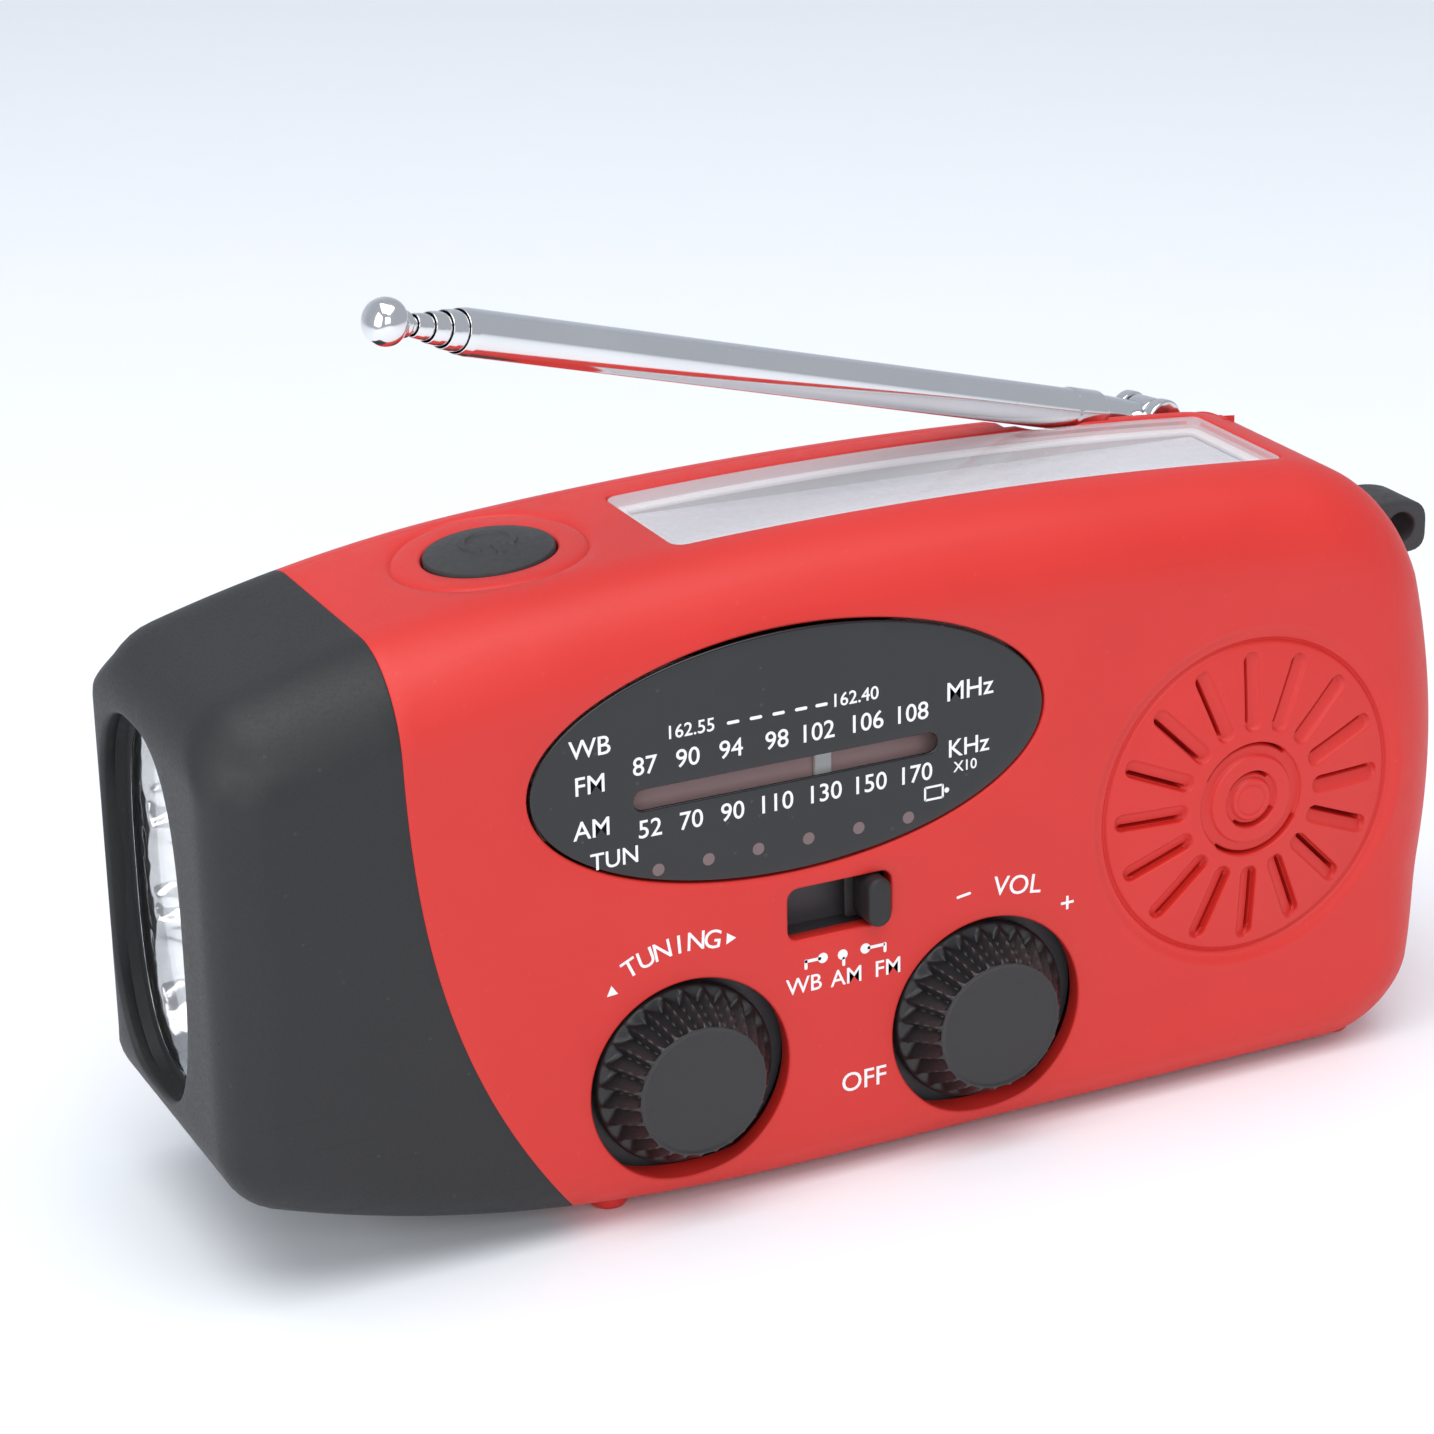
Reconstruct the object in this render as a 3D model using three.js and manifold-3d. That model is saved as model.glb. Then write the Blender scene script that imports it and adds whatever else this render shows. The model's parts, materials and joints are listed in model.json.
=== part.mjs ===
// Hand-crank emergency radio with a torch head, a solar panel and a telescopic antenna.
// Millimetres. +X towards the loudspeaker end, -Y out of the front face, +Z up, feet on Z = 0.
import * as THREE from "three";
import { mergeVertices } from "three/addons/utils/BufferGeometryUtils.js";
import Module from "manifold-3d";

const wasm = await Module();
wasm.setup();

// ---- driving dimensions ----
const FRONT_Y = -20; // flat front face
const BACK_Y = 15; // flat back face
const PART_Y = 7; // parting plane between the two red shells
const WALL = 2;
const GAP = 0.3; // between pieces that touch
const INNER_FRONT = FRONT_Y + WALL;
const INNER_BACK = BACK_Y - WALL;
const CROWN_Z = 60.85; // highest line of the case
const BASE_Z = 0.8; // underside of the case, above the feet
const LEFT_X = -64.9; // end face of the torch head
const RIGHT_X = 59.9; // fullest point of the loudspeaker end
const ROLL = { top: 8.6, right: 7.4, bottom: 4.0, left: 4.0 }; // rolled edges, front and back
const CORNER = { topRight: 10.4, bottomRight: 7.4, bottomLeft: 4, topLeft: 5 };

const SPEAKER = { x: 36.1, z: 29.2 };
const SLOT = { count: 16, inner: 7, outer: 14.4, width: 1.85 };
const TUNING = { x: -21.9, z: 13.4 };
const VOLUME = { x: 8.2, z: 13 };
const KNOB = { hole: 9.7, skirt: 8.7, face: 5.8, ribs: 26, frontY: -22.6, backY: -17.4 };
const DIAL = { x: -11.4, z: 43, a: 25.1, b: 11.3 };
const DIAL_SLOT_Z = 41.4; // height of the pointer's slot
const SWITCH = { x: -6.9, z: 27.2, width: 10.6, height: 5.2, travel: 6.9 };
const SOLAR = { x0: -18.2, x1: 44.7, y0: -11.2, y1: 4.2, ledge: 1.5, cover: 1.2 };
const BUTTON = { x: -32.2, y: -2.4, radius: 5.9, hole: 6.3 };
const TORCH = { y: 0.7, z: 31, halfY: 10.4, halfZ: 17.4, wall: 1.4, squareness: 2.8 };
const LENS_DEPTH = 2.6; // lens face behind the end of the head
const LED_PITCH = 9;
const ANTENNA = { x: 42.4, y: 10, z: 57, yaw: 17, pitch: 17.35, length: 89.6 };
const TUBE_RADII = [2.05, 1.75, 1.43, 1.11, 0.8]; // outer tube to innermost rod
const TUBE_WALL = 0.2;
const CRANK = { x: 30, z: 31, reach: 49, y0: 15.4, y1: 19.4, hubR: 8.5, tipR: 6 };
const GRIP = { hinge: -10.3, y: 19.2, radius: 3.4, x0: -7, x1: 10.6, barrel: 2.6 };
const MODULE = 0.75; // gear tooth module
const TEETH = { crank: 32, pinion: 10, idler: 30, rotor: 9 };
const DRUM_R = 6.4;
const PULLEY = { r: 2.4, z: 38.2, left: -33.5, right: 10.5 };
const BOARD = { y0: -4.4, y1: -2.8 };
const SCREWS = [[-38, 48], [-33.5, 12.4], [51, 45.5], [21, 7.2]];
const PORTS = { x: 39.2, z: 13.4, width: 25, height: 10, depth: 1.6 };
const USB = { x0: 28.4, x1: 41.5, z0: 10.5, z1: 16.2, wall: 0.3 };
const MICRO_USB = { x0: 43.4, x1: 50.9, z0: 11.6, z1: 14.4, wall: 0.4 };
const SOCKET_MOUTH_Y = 13;
const FEET = [[-28, -14.5], [50, -14.5], [-28, 10], [50, 10]];

// ---- finishes ----
const finish = (color, roughness, metalness = 0, more = {}) =>
  new THREE.MeshStandardMaterial({ color, roughness, metalness, ...more });
const RED = finish(0xd5413a, 0.55);
const BLACK_SOFT = finish(0x35363a, 0.7);
const BLACK_RUBBER = finish(0x2b2b2e, 0.8);
const BLACK_GLOSS = finish(0x18191b, 0.12);
const CLEAR = finish(0xeef2f5, 0.05, 0, { transparent: true, opacity: 0.35 });
const CHROME = finish(0xdfe2e6, 0.08, 1);
const STEEL = finish(0x9a9da1, 0.3, 1);
const BRASS = finish(0xb99b58, 0.3, 1);
const COPPER = finish(0xb4653a, 0.35, 1);
const BOARD_GREEN = finish(0x23603a, 0.5);
const WHITE_PLASTIC = finish(0xe9e8e2, 0.45);
const GREY_PLASTIC = finish(0x6b6d70, 0.5);
const SOLAR_BLUE = finish(0x1c2740, 0.25);
const PAPER = finish(0x232222, 0.9);
const FERRITE = finish(0x3a3836, 0.6);
const PRINTED = finish(0x8d7f80, 0.5);

const root = new THREE.Group();

/** Add a named piece to a group (the whole radio unless another is given). */
function piece(name, shape, material, group = root) {
  const geometry = shape instanceof wasm.Manifold ? geometryOf(shape) : shape;
  const mesh = new THREE.Mesh(geometry, material);
  mesh.name = name;
  group.add(mesh);
  return mesh;
}

// ---- geometry to solid and back ----
function solid(geometry) {
  const bare = geometry.clone();
  bare.deleteAttribute("normal");
  bare.deleteAttribute("uv");
  const merged = mergeVertices(bare, 1e-4);
  const mesh = new wasm.Mesh({
    numProp: 3,
    vertProperties: new Float32Array(merged.attributes.position.array),
    triVerts: new Uint32Array(merged.index.array),
  });
  return new wasm.Manifold(mesh);
}

function geometryOf(manifold) {
  const mesh = manifold.getMesh();
  const geometry = new THREE.BufferGeometry();
  geometry.setAttribute("position", new THREE.BufferAttribute(mesh.vertProperties, 3));
  geometry.setIndex(new THREE.BufferAttribute(mesh.triVerts, 1));
  return geometry;
}

/** The same faces turned to look the other way. */
function flipped(geometry) {
  const index = geometry.index.array;
  for (let i = 0; i < index.length; i += 3) [index[i], index[i + 1]] = [index[i + 1], index[i]];
  return geometry;
}

/** A closed geometry as a solid, turned to face outwards if it faced in. */
function outward(geometry) {
  const body = solid(geometry);
  return body.volume() > 0 ? body : solid(flipped(mergeVertices(geometry)));
}

const cut = (body, ...tools) => tools.reduce((left, tool) => left.subtract(tool), body);
const join = (body, ...others) => others.reduce((sum, other) => sum.add(other), body);

// ---- plain shapes ----
function box(x0, x1, y0, y1, z0, z1) {
  const shape = new THREE.BoxGeometry(x1 - x0, y1 - y0, z1 - z0);
  return shape.translate((x0 + x1) / 2, (y0 + y1) / 2, (z0 + z1) / 2);
}

/** Disc or rod along Y. */
function rodY(x, z, radius, y0, y1, sides = 24) {
  const shape = new THREE.CylinderGeometry(radius, radius, y1 - y0, sides);
  return shape.translate(x, (y0 + y1) / 2, z);
}

/** Disc or rod along X. */
function rodX(y, z, radius, x0, x1, sides = 16) {
  const shape = new THREE.CylinderGeometry(radius, radius, x1 - x0, sides);
  return shape.rotateZ(Math.PI / 2).translate((x0 + x1) / 2, y, z);
}

/** Disc or rod along Z. */
function rodZ(x, y, radius, z0, z1, sides = 16) {
  const shape = new THREE.CylinderGeometry(radius, radius, z1 - z0, sides);
  return shape.rotateX(Math.PI / 2).translate(x, y, (z0 + z1) / 2);
}

const straight = (depth) => ({ depth, bevelEnabled: false, steps: 1, curveSegments: 6 });

/** An outline in X and Z carried along Y from y0 to y1. */
function prismY(outline, y0, y1) {
  const shape = outline instanceof THREE.Shape ? outline : new THREE.Shape(outline);
  return new THREE.ExtrudeGeometry(shape, straight(y1 - y0)).rotateX(Math.PI / 2).translate(0, y1, 0);
}

/** An outline in Y and Z carried along X from x0 to x1. */
function prismX(outline, x0, x1) {
  const axes = new THREE.Matrix4().makeBasis(
    new THREE.Vector3(0, 1, 0),
    new THREE.Vector3(0, 0, 1),
    new THREE.Vector3(1, 0, 0),
  );
  const shape = new THREE.ExtrudeGeometry(new THREE.Shape(outline), straight(x1 - x0));
  return shape.applyMatrix4(axes).translate(x0, 0, 0);
}

const point = (x, y) => new THREE.Vector2(x, y);

function ellipse(cx, cy, a, b, count) {
  return Array.from({ length: count }, (_, i) => {
    const angle = (2 * Math.PI * i) / count;
    return point(cx + a * Math.cos(angle), cy + b * Math.sin(angle));
  });
}

function roundedBox(cx, cy, width, height, radius, steps = 2) {
  const points = [];
  for (let corner = 0; corner < 4; corner++) {
    const sx = corner === 0 || corner === 3 ? 1 : -1;
    const sy = corner < 2 ? 1 : -1;
    for (let i = 0; i <= steps; i++) {
      const angle = (Math.PI / 2) * (corner + i / steps);
      const x = cx + sx * (width / 2 - radius) + radius * Math.cos(angle);
      points.push(point(x, cy + sy * (height / 2 - radius) + radius * Math.sin(angle)));
    }
  }
  return points;
}

/** A profile of (radius, height) pairs turned about Y through (x, z). */
function turnedY(x, z, profile, sides) {
  const points = profile.map(([radius, height]) => point(radius, height));
  return new THREE.LatheGeometry(points, sides).translate(x, 0, z);
}

// ---- outline of the case, seen from the front ----
const topZ = (x) =>
  CROWN_Z - 0.0011 * (x - 0.4) ** 2 - 2.86 * (Math.max(0, -29.6 - x) / 33.5) ** 2;
const bottomZ = (x) => BASE_Z + 8.8 * (Math.max(0, -7.1 - x) / 56) ** 2.5;
const rightX = (z) => RIGHT_X - 0.0069 * (z - 29) ** 2;
const seamX = (z) => -47.9 + 17.1 * Math.max(0, 1 - z / 60) ** 3; // torch head meets red case

/** Where the top, bottom, left and right lines of the case cross. */
function corners() {
  let x = RIGHT_X;
  for (let i = 0; i < 12; i++) x = rightX(topZ(x));
  let low = RIGHT_X;
  for (let i = 0; i < 12; i++) low = rightX(bottomZ(low));
  return {
    topRight: point(x, topZ(x)),
    bottomRight: point(low, bottomZ(low)),
    bottomLeft: point(LEFT_X, bottomZ(LEFT_X)),
    topLeft: point(LEFT_X, topZ(LEFT_X)),
  };
}

/** A round corner from a to b: the conic arc that is tangent to both sides. */
function cornerArc(a, apex, b, steps) {
  const u = a.clone().sub(apex).normalize();
  const v = b.clone().sub(apex).normalize();
  const weight = Math.sqrt((1 - u.dot(v)) / 2);
  const points = [];
  for (let i = 1; i < steps; i++) {
    const t = i / steps;
    const [p, q, r] = [(1 - t) ** 2, 2 * t * (1 - t) * weight, t ** 2];
    const sum = p + q + r;
    points.push(point((p * a.x + q * apex.x + r * b.x) / sum, (p * a.y + q * apex.y + r * b.y) / sum));
  }
  return points;
}

/** The case outline, clockwise from the top left, with a few steps on each side and corner. */
function caseOutline() {
  const at = corners();
  const line = (from, to, steps, place) =>
    Array.from({ length: steps + 1 }, (_, i) => place(from + ((to - from) * i) / steps));
  const top = line(LEFT_X + CORNER.topLeft, at.topRight.x - CORNER.topRight, 12, (x) => point(x, topZ(x)));
  const rightTop = at.topRight.y - CORNER.topRight;
  const right = line(rightTop, at.bottomRight.y + CORNER.bottomRight, 4, (z) => point(rightX(z), z));
  const bottomStart = at.bottomRight.x - CORNER.bottomRight;
  const bottom = line(bottomStart, LEFT_X + CORNER.bottomLeft, 9, (x) => point(x, bottomZ(x)));
  const leftLow = at.bottomLeft.y + CORNER.bottomLeft;
  const left = line(leftLow, at.topLeft.y - CORNER.topLeft, 1, (z) => point(LEFT_X, z));
  return [
    ...top,
    ...cornerArc(top.at(-1), at.topRight, right[0], 5),
    ...right,
    ...cornerArc(right.at(-1), at.bottomRight, bottom[0], 5),
    ...bottom,
    ...cornerArc(bottom.at(-1), at.bottomLeft, left[0], 3),
    ...left,
    ...cornerArc(left.at(-1), at.topLeft, top[0], 3),
  ];
}

const smooth = (t) => {
  const s = Math.min(1, Math.max(0, t));
  return s * s * (3 - 2 * s);
};

/** Radius of the rolled edge where the outline faces (nx, nz) at height z. */
function rollRadius(nx, nz, z) {
  const up = smooth((nz + 0.2) / 0.9);
  const down = smooth((-nz - 0.1) / 0.7);
  const rightSide = ROLL.bottom + (ROLL.right - ROLL.bottom) * smooth((z - 4) / 14);
  const side = nx < 0 ? ROLL.left : rightSide;
  return side * (1 - up) * (1 - down) + ROLL.top * up + ROLL.bottom * down;
}

/** The whole case as one solid: the outline with flat front and back and rolled edges, inset all round. */
function caseBody(inset) {
  const rollSteps = 3;
  const outline = caseOutline();
  const count = outline.length;
  const levels = [];
  for (let side = 0; side < 2; side++) {
    for (let i = 0; i <= rollSteps; i++) {
      const angle = (Math.PI / 2) * (side === 0 ? i / rollSteps : 1 - i / rollSteps);
      levels.push({ angle, front: side === 0 });
    }
  }
  const positions = [];
  for (const { angle, front } of levels) {
    outline.forEach((p, i) => {
      const before = outline[(i + count - 1) % count];
      const after = outline[(i + 1) % count];
      const normal = point(before.y - after.y, after.x - before.x).normalize();
      const radius = Math.max(1.5, rollRadius(normal.x, normal.y, p.y) - inset);
      const inward = inset + radius * (1 - Math.sin(angle));
      const depth = inset + radius * (1 - Math.cos(angle));
      const y = front ? FRONT_Y + depth : BACK_Y - depth;
      positions.push(p.x - normal.x * inward, y, p.y - normal.y * inward);
    });
  }
  const faces = [];
  for (let level = 0; level + 1 < levels.length; level++) {
    for (let i = 0; i < count; i++) {
      const a = level * count + i;
      const b = level * count + ((i + 1) % count);
      faces.push(a, b, a + count, b, b + count, a + count);
    }
  }
  const last = (levels.length - 1) * count;
  const ring = (start) => Array.from({ length: count }, (_, i) => {
    const at = 3 * (start + i);
    return point(positions[at], positions[at + 2]);
  });
  for (const [a, b, c] of THREE.ShapeUtils.triangulateShape(ring(0), [])) faces.push(a, b, c);
  for (const [a, b, c] of THREE.ShapeUtils.triangulateShape(ring(last), [])) {
    faces.push(last + a, last + c, last + b);
  }
  const geometry = new THREE.BufferGeometry();
  geometry.setAttribute("position", new THREE.Float32BufferAttribute(positions, 3));
  geometry.setIndex(faces);
  return outward(geometry);
}

/** Everything to the right of the head's curved seam, moved along X by shift. */
function rightOfSeam(shift) {
  const heights = [-4, 3, 8, 14, 22, 32, 45, 60, 70];
  const seam = heights.map((z) => point(seamX(z) + shift, z));
  return solid(prismY([...seam, point(80, 70), point(80, -4)], -40, 40));
}

const BODY = caseBody(0);
const HOLLOW = caseBody(WALL);

// ---- the two red shells ----
function screwPosts(y0, y1, radius, bore) {
  return SCREWS.map(([x, z]) => ({
    post: BODY.intersect(solid(rodY(x, z, radius, y0, y1, 10))),
    bore: solid(rodY(x, z, bore, y0 - 1, y1 + 1, 10)),
  }));
}

/** Pocket at the rear top corner for the antenna's swivel, with a groove for its tube; grow gives the walls. */
function antennaPocket(grow) {
  const outline = [
    point(24 - grow, 59.7 - grow),
    point(35.5 - grow, 52.8 - grow),
    point(48.4 + grow, 52.8 - grow),
    point(48.4 + grow, 66),
    point(24 - grow, 66),
  ];
  const { x, y, z, yaw, pitch } = ANTENNA;
  const groove = rodX(0, 0, TUBE_RADII[0] + 0.45 + grow, 4, 24, 16);
  groove.rotateY(-THREE.MathUtils.degToRad(pitch)).rotateZ(Math.PI + THREE.MathUtils.degToRad(yaw));
  return join(solid(prismY(outline, 5.4 - grow, 30)), solid(groove.translate(x, y, z)));
}

function feet(front) {
  return FEET.filter(([, y]) => (y < 0) === front).map(([x, y]) => {
    return solid(rodZ(x, y, 1.8, 0, bottomZ(x) + 1, 12));
  });
}

/** A band that follows the crown of the case, from low to high above it, over x0..x1 and y0..y1. */
function crownBand(x0, x1, y0, y1, low, high) {
  const steps = 8;
  const along = Array.from({ length: steps + 1 }, (_, i) => x0 + ((x1 - x0) * i) / steps);
  const under = along.map((x) => point(x, topZ(x) + low));
  const over = along.map((x) => point(x, topZ(x) + high)).reverse();
  return solid(prismY([...under, ...over], y0, y1));
}

const buttonTilt = Math.atan2(-(topZ(BUTTON.x + 1) - topZ(BUTTON.x - 1)) / 2, 1);

/** A rod that stands square on the sloping top at the torch button, from low to high along it. */
function buttonRod(radius, low, high, sides = 20) {
  const shape = new THREE.CylinderGeometry(radius, radius, high - low, sides).rotateX(Math.PI / 2);
  shape.translate(0, 0, (low + high) / 2).rotateY(buttonTilt);
  return solid(shape.translate(BUTTON.x, BUTTON.y, topZ(BUTTON.x)));
}

function grilleSlot(index) {
  const { inner, outer, width, count } = SLOT;
  const half = width / 2;
  const end = (distance, from) =>
    [0, 1, 2].map((i) => {
      const angle = from + (Math.PI * i) / 2;
      return point(distance + half * Math.cos(angle), half * Math.sin(angle));
    });
  const outline = [...end(outer - half, -Math.PI / 2), ...end(inner + half, Math.PI / 2)];
  const turn = (2 * Math.PI * index) / count;
  const turned = outline.map((p) => p.rotateAround(point(0, 0), turn).add(point(SPEAKER.x, SPEAKER.z)));
  return solid(prismY(turned, FRONT_Y - 1, INNER_FRONT + 1));
}

/** A curved slit in the grille's hub. */
function hubSlit(radius, width, middle, spread) {
  const arc = (r, from, to) =>
    Array.from({ length: 6 }, (_, i) => {
      const angle = from + ((to - from) * i) / 5;
      return point(SPEAKER.x + r * Math.cos(angle), SPEAKER.z + r * Math.sin(angle));
    });
  const [from, to] = [middle - spread, middle + spread];
  const outline = [...arc(radius + width / 2, from, to), ...arc(radius - width / 2, to, from)];
  return solid(prismY(outline, FRONT_Y - 1, INNER_FRONT + 1));
}

function dialEllipse(shrink, y0, y1) {
  return solid(prismY(ellipse(DIAL.x, DIAL.z, DIAL.a - shrink, DIAL.b - shrink, 40), y0, y1));
}

function frontShell() {
  const half = solid(box(-80, 80, -40, PART_Y - GAP / 2, -10, 80));
  const posts = screwPosts(INNER_FRONT - 1, PART_Y - GAP / 2, 2.9, 1.5);
  const blank = BODY.subtract(HOLLOW);
  const pocketWalls = BODY.intersect(antennaPocket(1.4));
  const ledge = crownBand(SOLAR.x0 - 1, SOLAR.x1 + 1, SOLAR.y0 - 1, SOLAR.y1 + 1, -3.2, -1);
  let shell = join(blank, pocketWalls, BODY.intersect(ledge), ...feet(true));
  shell = join(shell, ...posts.map(({ post }) => post));
  shell = shell.intersect(half).intersect(rightOfSeam(GAP / 2));
  const { x0, x1, y0, y1, ledge: lip, cover } = SOLAR;
  const blindBore = solid(box(-80, 80, FRONT_Y - 1, INNER_FRONT, -10, 80));
  return cut(
    shell,
    ...posts.map(({ bore }) => bore.subtract(blindBore)),
    antennaPocket(0),
    crownBand(x0 - GAP, x1 + GAP, y0 - GAP, y1 + GAP, -cover - GAP, 3),
    crownBand(x0 + lip, x1 - lip, y0 + lip, y1 - lip, -9, 3),
    buttonRod(BUTTON.hole, -5, 5),
    dialEllipse(-GAP, FRONT_Y - 1, FRONT_Y + 1.2),
    dialEllipse(1.7, FRONT_Y - 1, INNER_FRONT + 1),
    solid(rodY(TUNING.x, TUNING.z, KNOB.hole, FRONT_Y - 1, INNER_FRONT + 1, 32)),
    solid(rodY(VOLUME.x, VOLUME.z, KNOB.hole, FRONT_Y - 1, INNER_FRONT + 1, 32)),
    solid(prismY(roundedBox(SWITCH.x, SWITCH.z, SWITCH.width, SWITCH.height, 1.2), FRONT_Y - 1, -17)),
    ...Array.from({ length: SLOT.count }, (_, i) => grilleSlot(i)),
    ...[1, -1].map((side) => hubSlit(5, 1.1, (side * Math.PI) / 2, 1.05)),
    ...[1, -1].map((side) => hubSlit(2.6, 0.9, (side * Math.PI) / 2, 0.95)),
  );
}

function rearShell() {
  const half = solid(box(-80, 80, PART_Y + GAP / 2, 40, -10, 80));
  const posts = screwPosts(PART_Y + GAP / 2, INNER_BACK + 1, 3.4, 1.5);
  const pocketWalls = BODY.intersect(antennaPocket(1.4));
  const { x, z, width, height, depth } = PORTS;
  const portWell = BODY.intersect(
    solid(prismY(roundedBox(x, z, width + 4, height + 3.2, 1.5), INNER_BACK - 1.6, BACK_Y)),
  );
  let shell = join(BODY.subtract(HOLLOW), pocketWalls, portWell, ...feet(false));
  shell = join(shell, ...posts.map(({ post }) => post));
  shell = shell.intersect(half).intersect(rightOfSeam(GAP / 2));
  return cut(
    shell,
    ...posts.map(({ bore }) => bore),
    ...SCREWS.map(([sx, sz]) => solid(rodY(sx, sz, 2.7, BACK_Y - 2.6, BACK_Y + 1, 12))),
    antennaPocket(0),
    solid(rodY(CRANK.x, CRANK.z, 3.3, 0, 20, 20)),
    solid(prismY(roundedBox(x, z, width, height, 1), BACK_Y - depth - GAP, BACK_Y + 1)),
    solid(box(x - width / 2, x + width / 2, BACK_Y - depth - GAP, BACK_Y + 1, z - height / 2 - 0.9, z)),
    ...[USB, MICRO_USB].map(({ x0, x1, z0, z1 }) => {
      return solid(box(x0 - GAP, x1 + GAP, 10, 20, z0 - GAP, z1 + GAP));
    }),
  );
}

piece("front_shell", frontShell(), RED);
piece("rear_shell", rearShell(), RED);

SCREWS.forEach(([x, z], i) => {
  const shank = solid(rodY(x, z, 1.2, -4, BACK_Y - 2, 8));
  const head = solid(rodY(x, z, 2.4, BACK_Y - 2.3, BACK_Y - 0.7, 12));
  const cross = [box(x - 1.4, x + 1.4, BACK_Y - 1.4, BACK_Y, z - 0.3, z + 0.3)];
  cross.push(box(x - 0.3, x + 0.3, BACK_Y - 1.4, BACK_Y, z - 1.4, z + 1.4));
  piece(`case_screw_${i + 1}`, cut(join(shank, head), ...cross.map(solid)), STEEL);
});

// ---- torch head at the left end ----
/** Superellipse outline of the torch opening, grown by a distance. */
function torchOval(grow, count = 32) {
  const power = 2 / TORCH.squareness;
  const bent = (value) => Math.sign(value) * Math.abs(value) ** power;
  return ellipse(0, 0, 1, 1, count).map(({ x, y }) =>
    point(TORCH.y + (TORCH.halfY + grow) * bent(x), TORCH.z + (TORCH.halfZ + grow) * bent(y)));
}

function torchHead() {
  const skin = BODY.subtract(HOLLOW);
  const collar = BODY.intersect(solid(prismX(torchOval(TORCH.wall), LEFT_X - 1, LEFT_X + 13)));
  const mouth = solid(prismX(torchOval(0), LEFT_X - 2, LEFT_X + 15));
  return join(skin, collar).subtract(rightOfSeam(-GAP / 2)).subtract(mouth);
}

piece("torch_head", torchHead(), BLACK_SOFT);
const LENS_X = LEFT_X + LENS_DEPTH;
piece("torch_lens", solid(prismX(torchOval(-GAP), LENS_X, LENS_X + 1.2)), CLEAR);

const LED_HEIGHTS = [LED_PITCH, 0, -LED_PITCH].map((offset) => TORCH.z + offset);

/** The chrome bowl behind the lens: an oval dish with a rim and a hole for each lamp. */
function reflector() {
  const profile = [[0, 7], [0.55, 6.6], [0.82, 4.6], [1, 0], [1, 0.6], [0.87, 5.1], [0.6, 7.7], [0, 8]];
  const points = profile.map(([radius, depth]) => point(radius, depth));
  const bowl = new THREE.LatheGeometry([...points].reverse(), 28);
  bowl.scale(TORCH.halfY - GAP, 1, TORCH.halfZ - GAP).rotateZ(-Math.PI / 2);
  bowl.translate(LENS_X + 1.5, TORCH.y, TORCH.z);
  const holes = LED_HEIGHTS.map((z) => solid(rodX(TORCH.y, z, 2.9, LENS_X + 1, LENS_X + 12, 14)));
  return cut(outward(bowl), ...holes);
}

piece("reflector", reflector(), CHROME);

LED_HEIGHTS.forEach((z, i) => {
  const profile = [[0, 0], [1.3, 0.4], [2.2, 1.4], [2.5, 2.8], [2.5, 6], [0, 6]];
  const dome = new THREE.LatheGeometry(profile.map(([r, h]) => point(r, -h)).reverse(), 14);
  dome.rotateZ(Math.PI / 2).translate(LENS_X + 4.6, TORCH.y, z);
  piece(`led_${i + 1}`, solid(dome), CLEAR);
});
piece("led_board", box(LENS_X + 11, LENS_X + 12.4, TORCH.y - 8, TORCH.y + 8, 17, 45), BOARD_GREEN);

// ---- torch push button on the sloping top ----
function torchButton() {
  const stem = buttonRod(2, -6, 0, 12);
  const pad = buttonRod(BUTTON.radius, -1.4, 0.9);
  const dome = buttonRod(BUTTON.radius - 1.2, 0, 1.7);
  const rib = buttonRod(2.2, 1, 2.1, 6);
  return join(stem, pad, dome, rib);
}

piece("torch_button", torchButton(), BLACK_RUBBER);
piece("torch_switch", box(-34.6, -27, -7, 2, 46.5, topZ(BUTTON.x) - 7.3), GREY_PLASTIC);

// ---- solar panel under its clear cover ----
piece(
  "solar_cover",
  crownBand(SOLAR.x0, SOLAR.x1, SOLAR.y0, SOLAR.y1, -SOLAR.cover, -0.05),
  CLEAR,
);

function solarPanel() {
  const margin = SOLAR.ledge + GAP;
  const [x0, x1] = [SOLAR.x0 + margin, SOLAR.x1 - margin];
  const slope = Math.atan2(topZ(x0) - topZ(x1), x1 - x0);
  const panel = new THREE.BoxGeometry(x1 - x0, SOLAR.y1 - SOLAR.y0 - 2 * margin, 1.2);
  const height = (topZ(x0) + topZ(x1)) / 2 - SOLAR.cover - 1;
  return panel.rotateY(slope).translate((x0 + x1) / 2, (SOLAR.y0 + SOLAR.y1) / 2, height);
}

piece("solar_panel", solarPanel(), SOLAR_BLUE);

// ---- tuning dial ----
piece("dial_window", dialEllipse(0, FRONT_Y, FRONT_Y + 0.9), BLACK_GLOSS);
piece("dial_plate", prismY(roundedBox(DIAL.x, DIAL.z + 1.3, 47, 15, 3), -16.4, -15.6), PRINTED);
piece("pointer", join(
  solid(box(-7.8, -6.2, -17.1, -16.7, 35.2, DIAL_SLOT_Z + 1.4)),
  solid(box(-8.4, -5.6, -17.1, -13.4, 33.1, 35.2)),
  solid(box(-7.6, -6.4, -14.2, -13.4, 34, DIAL_SLOT_Z)),
), WHITE_PLASTIC);

const PULLEY_Y = [-13.2, -11.6];
const groove = (radius) => [
  [0, PULLEY_Y[0]], [radius + 0.5, PULLEY_Y[0]], [radius, -12.7],
  [radius, -12.1], [radius + 0.5, PULLEY_Y[1]], [0, PULLEY_Y[1]],
];

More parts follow.
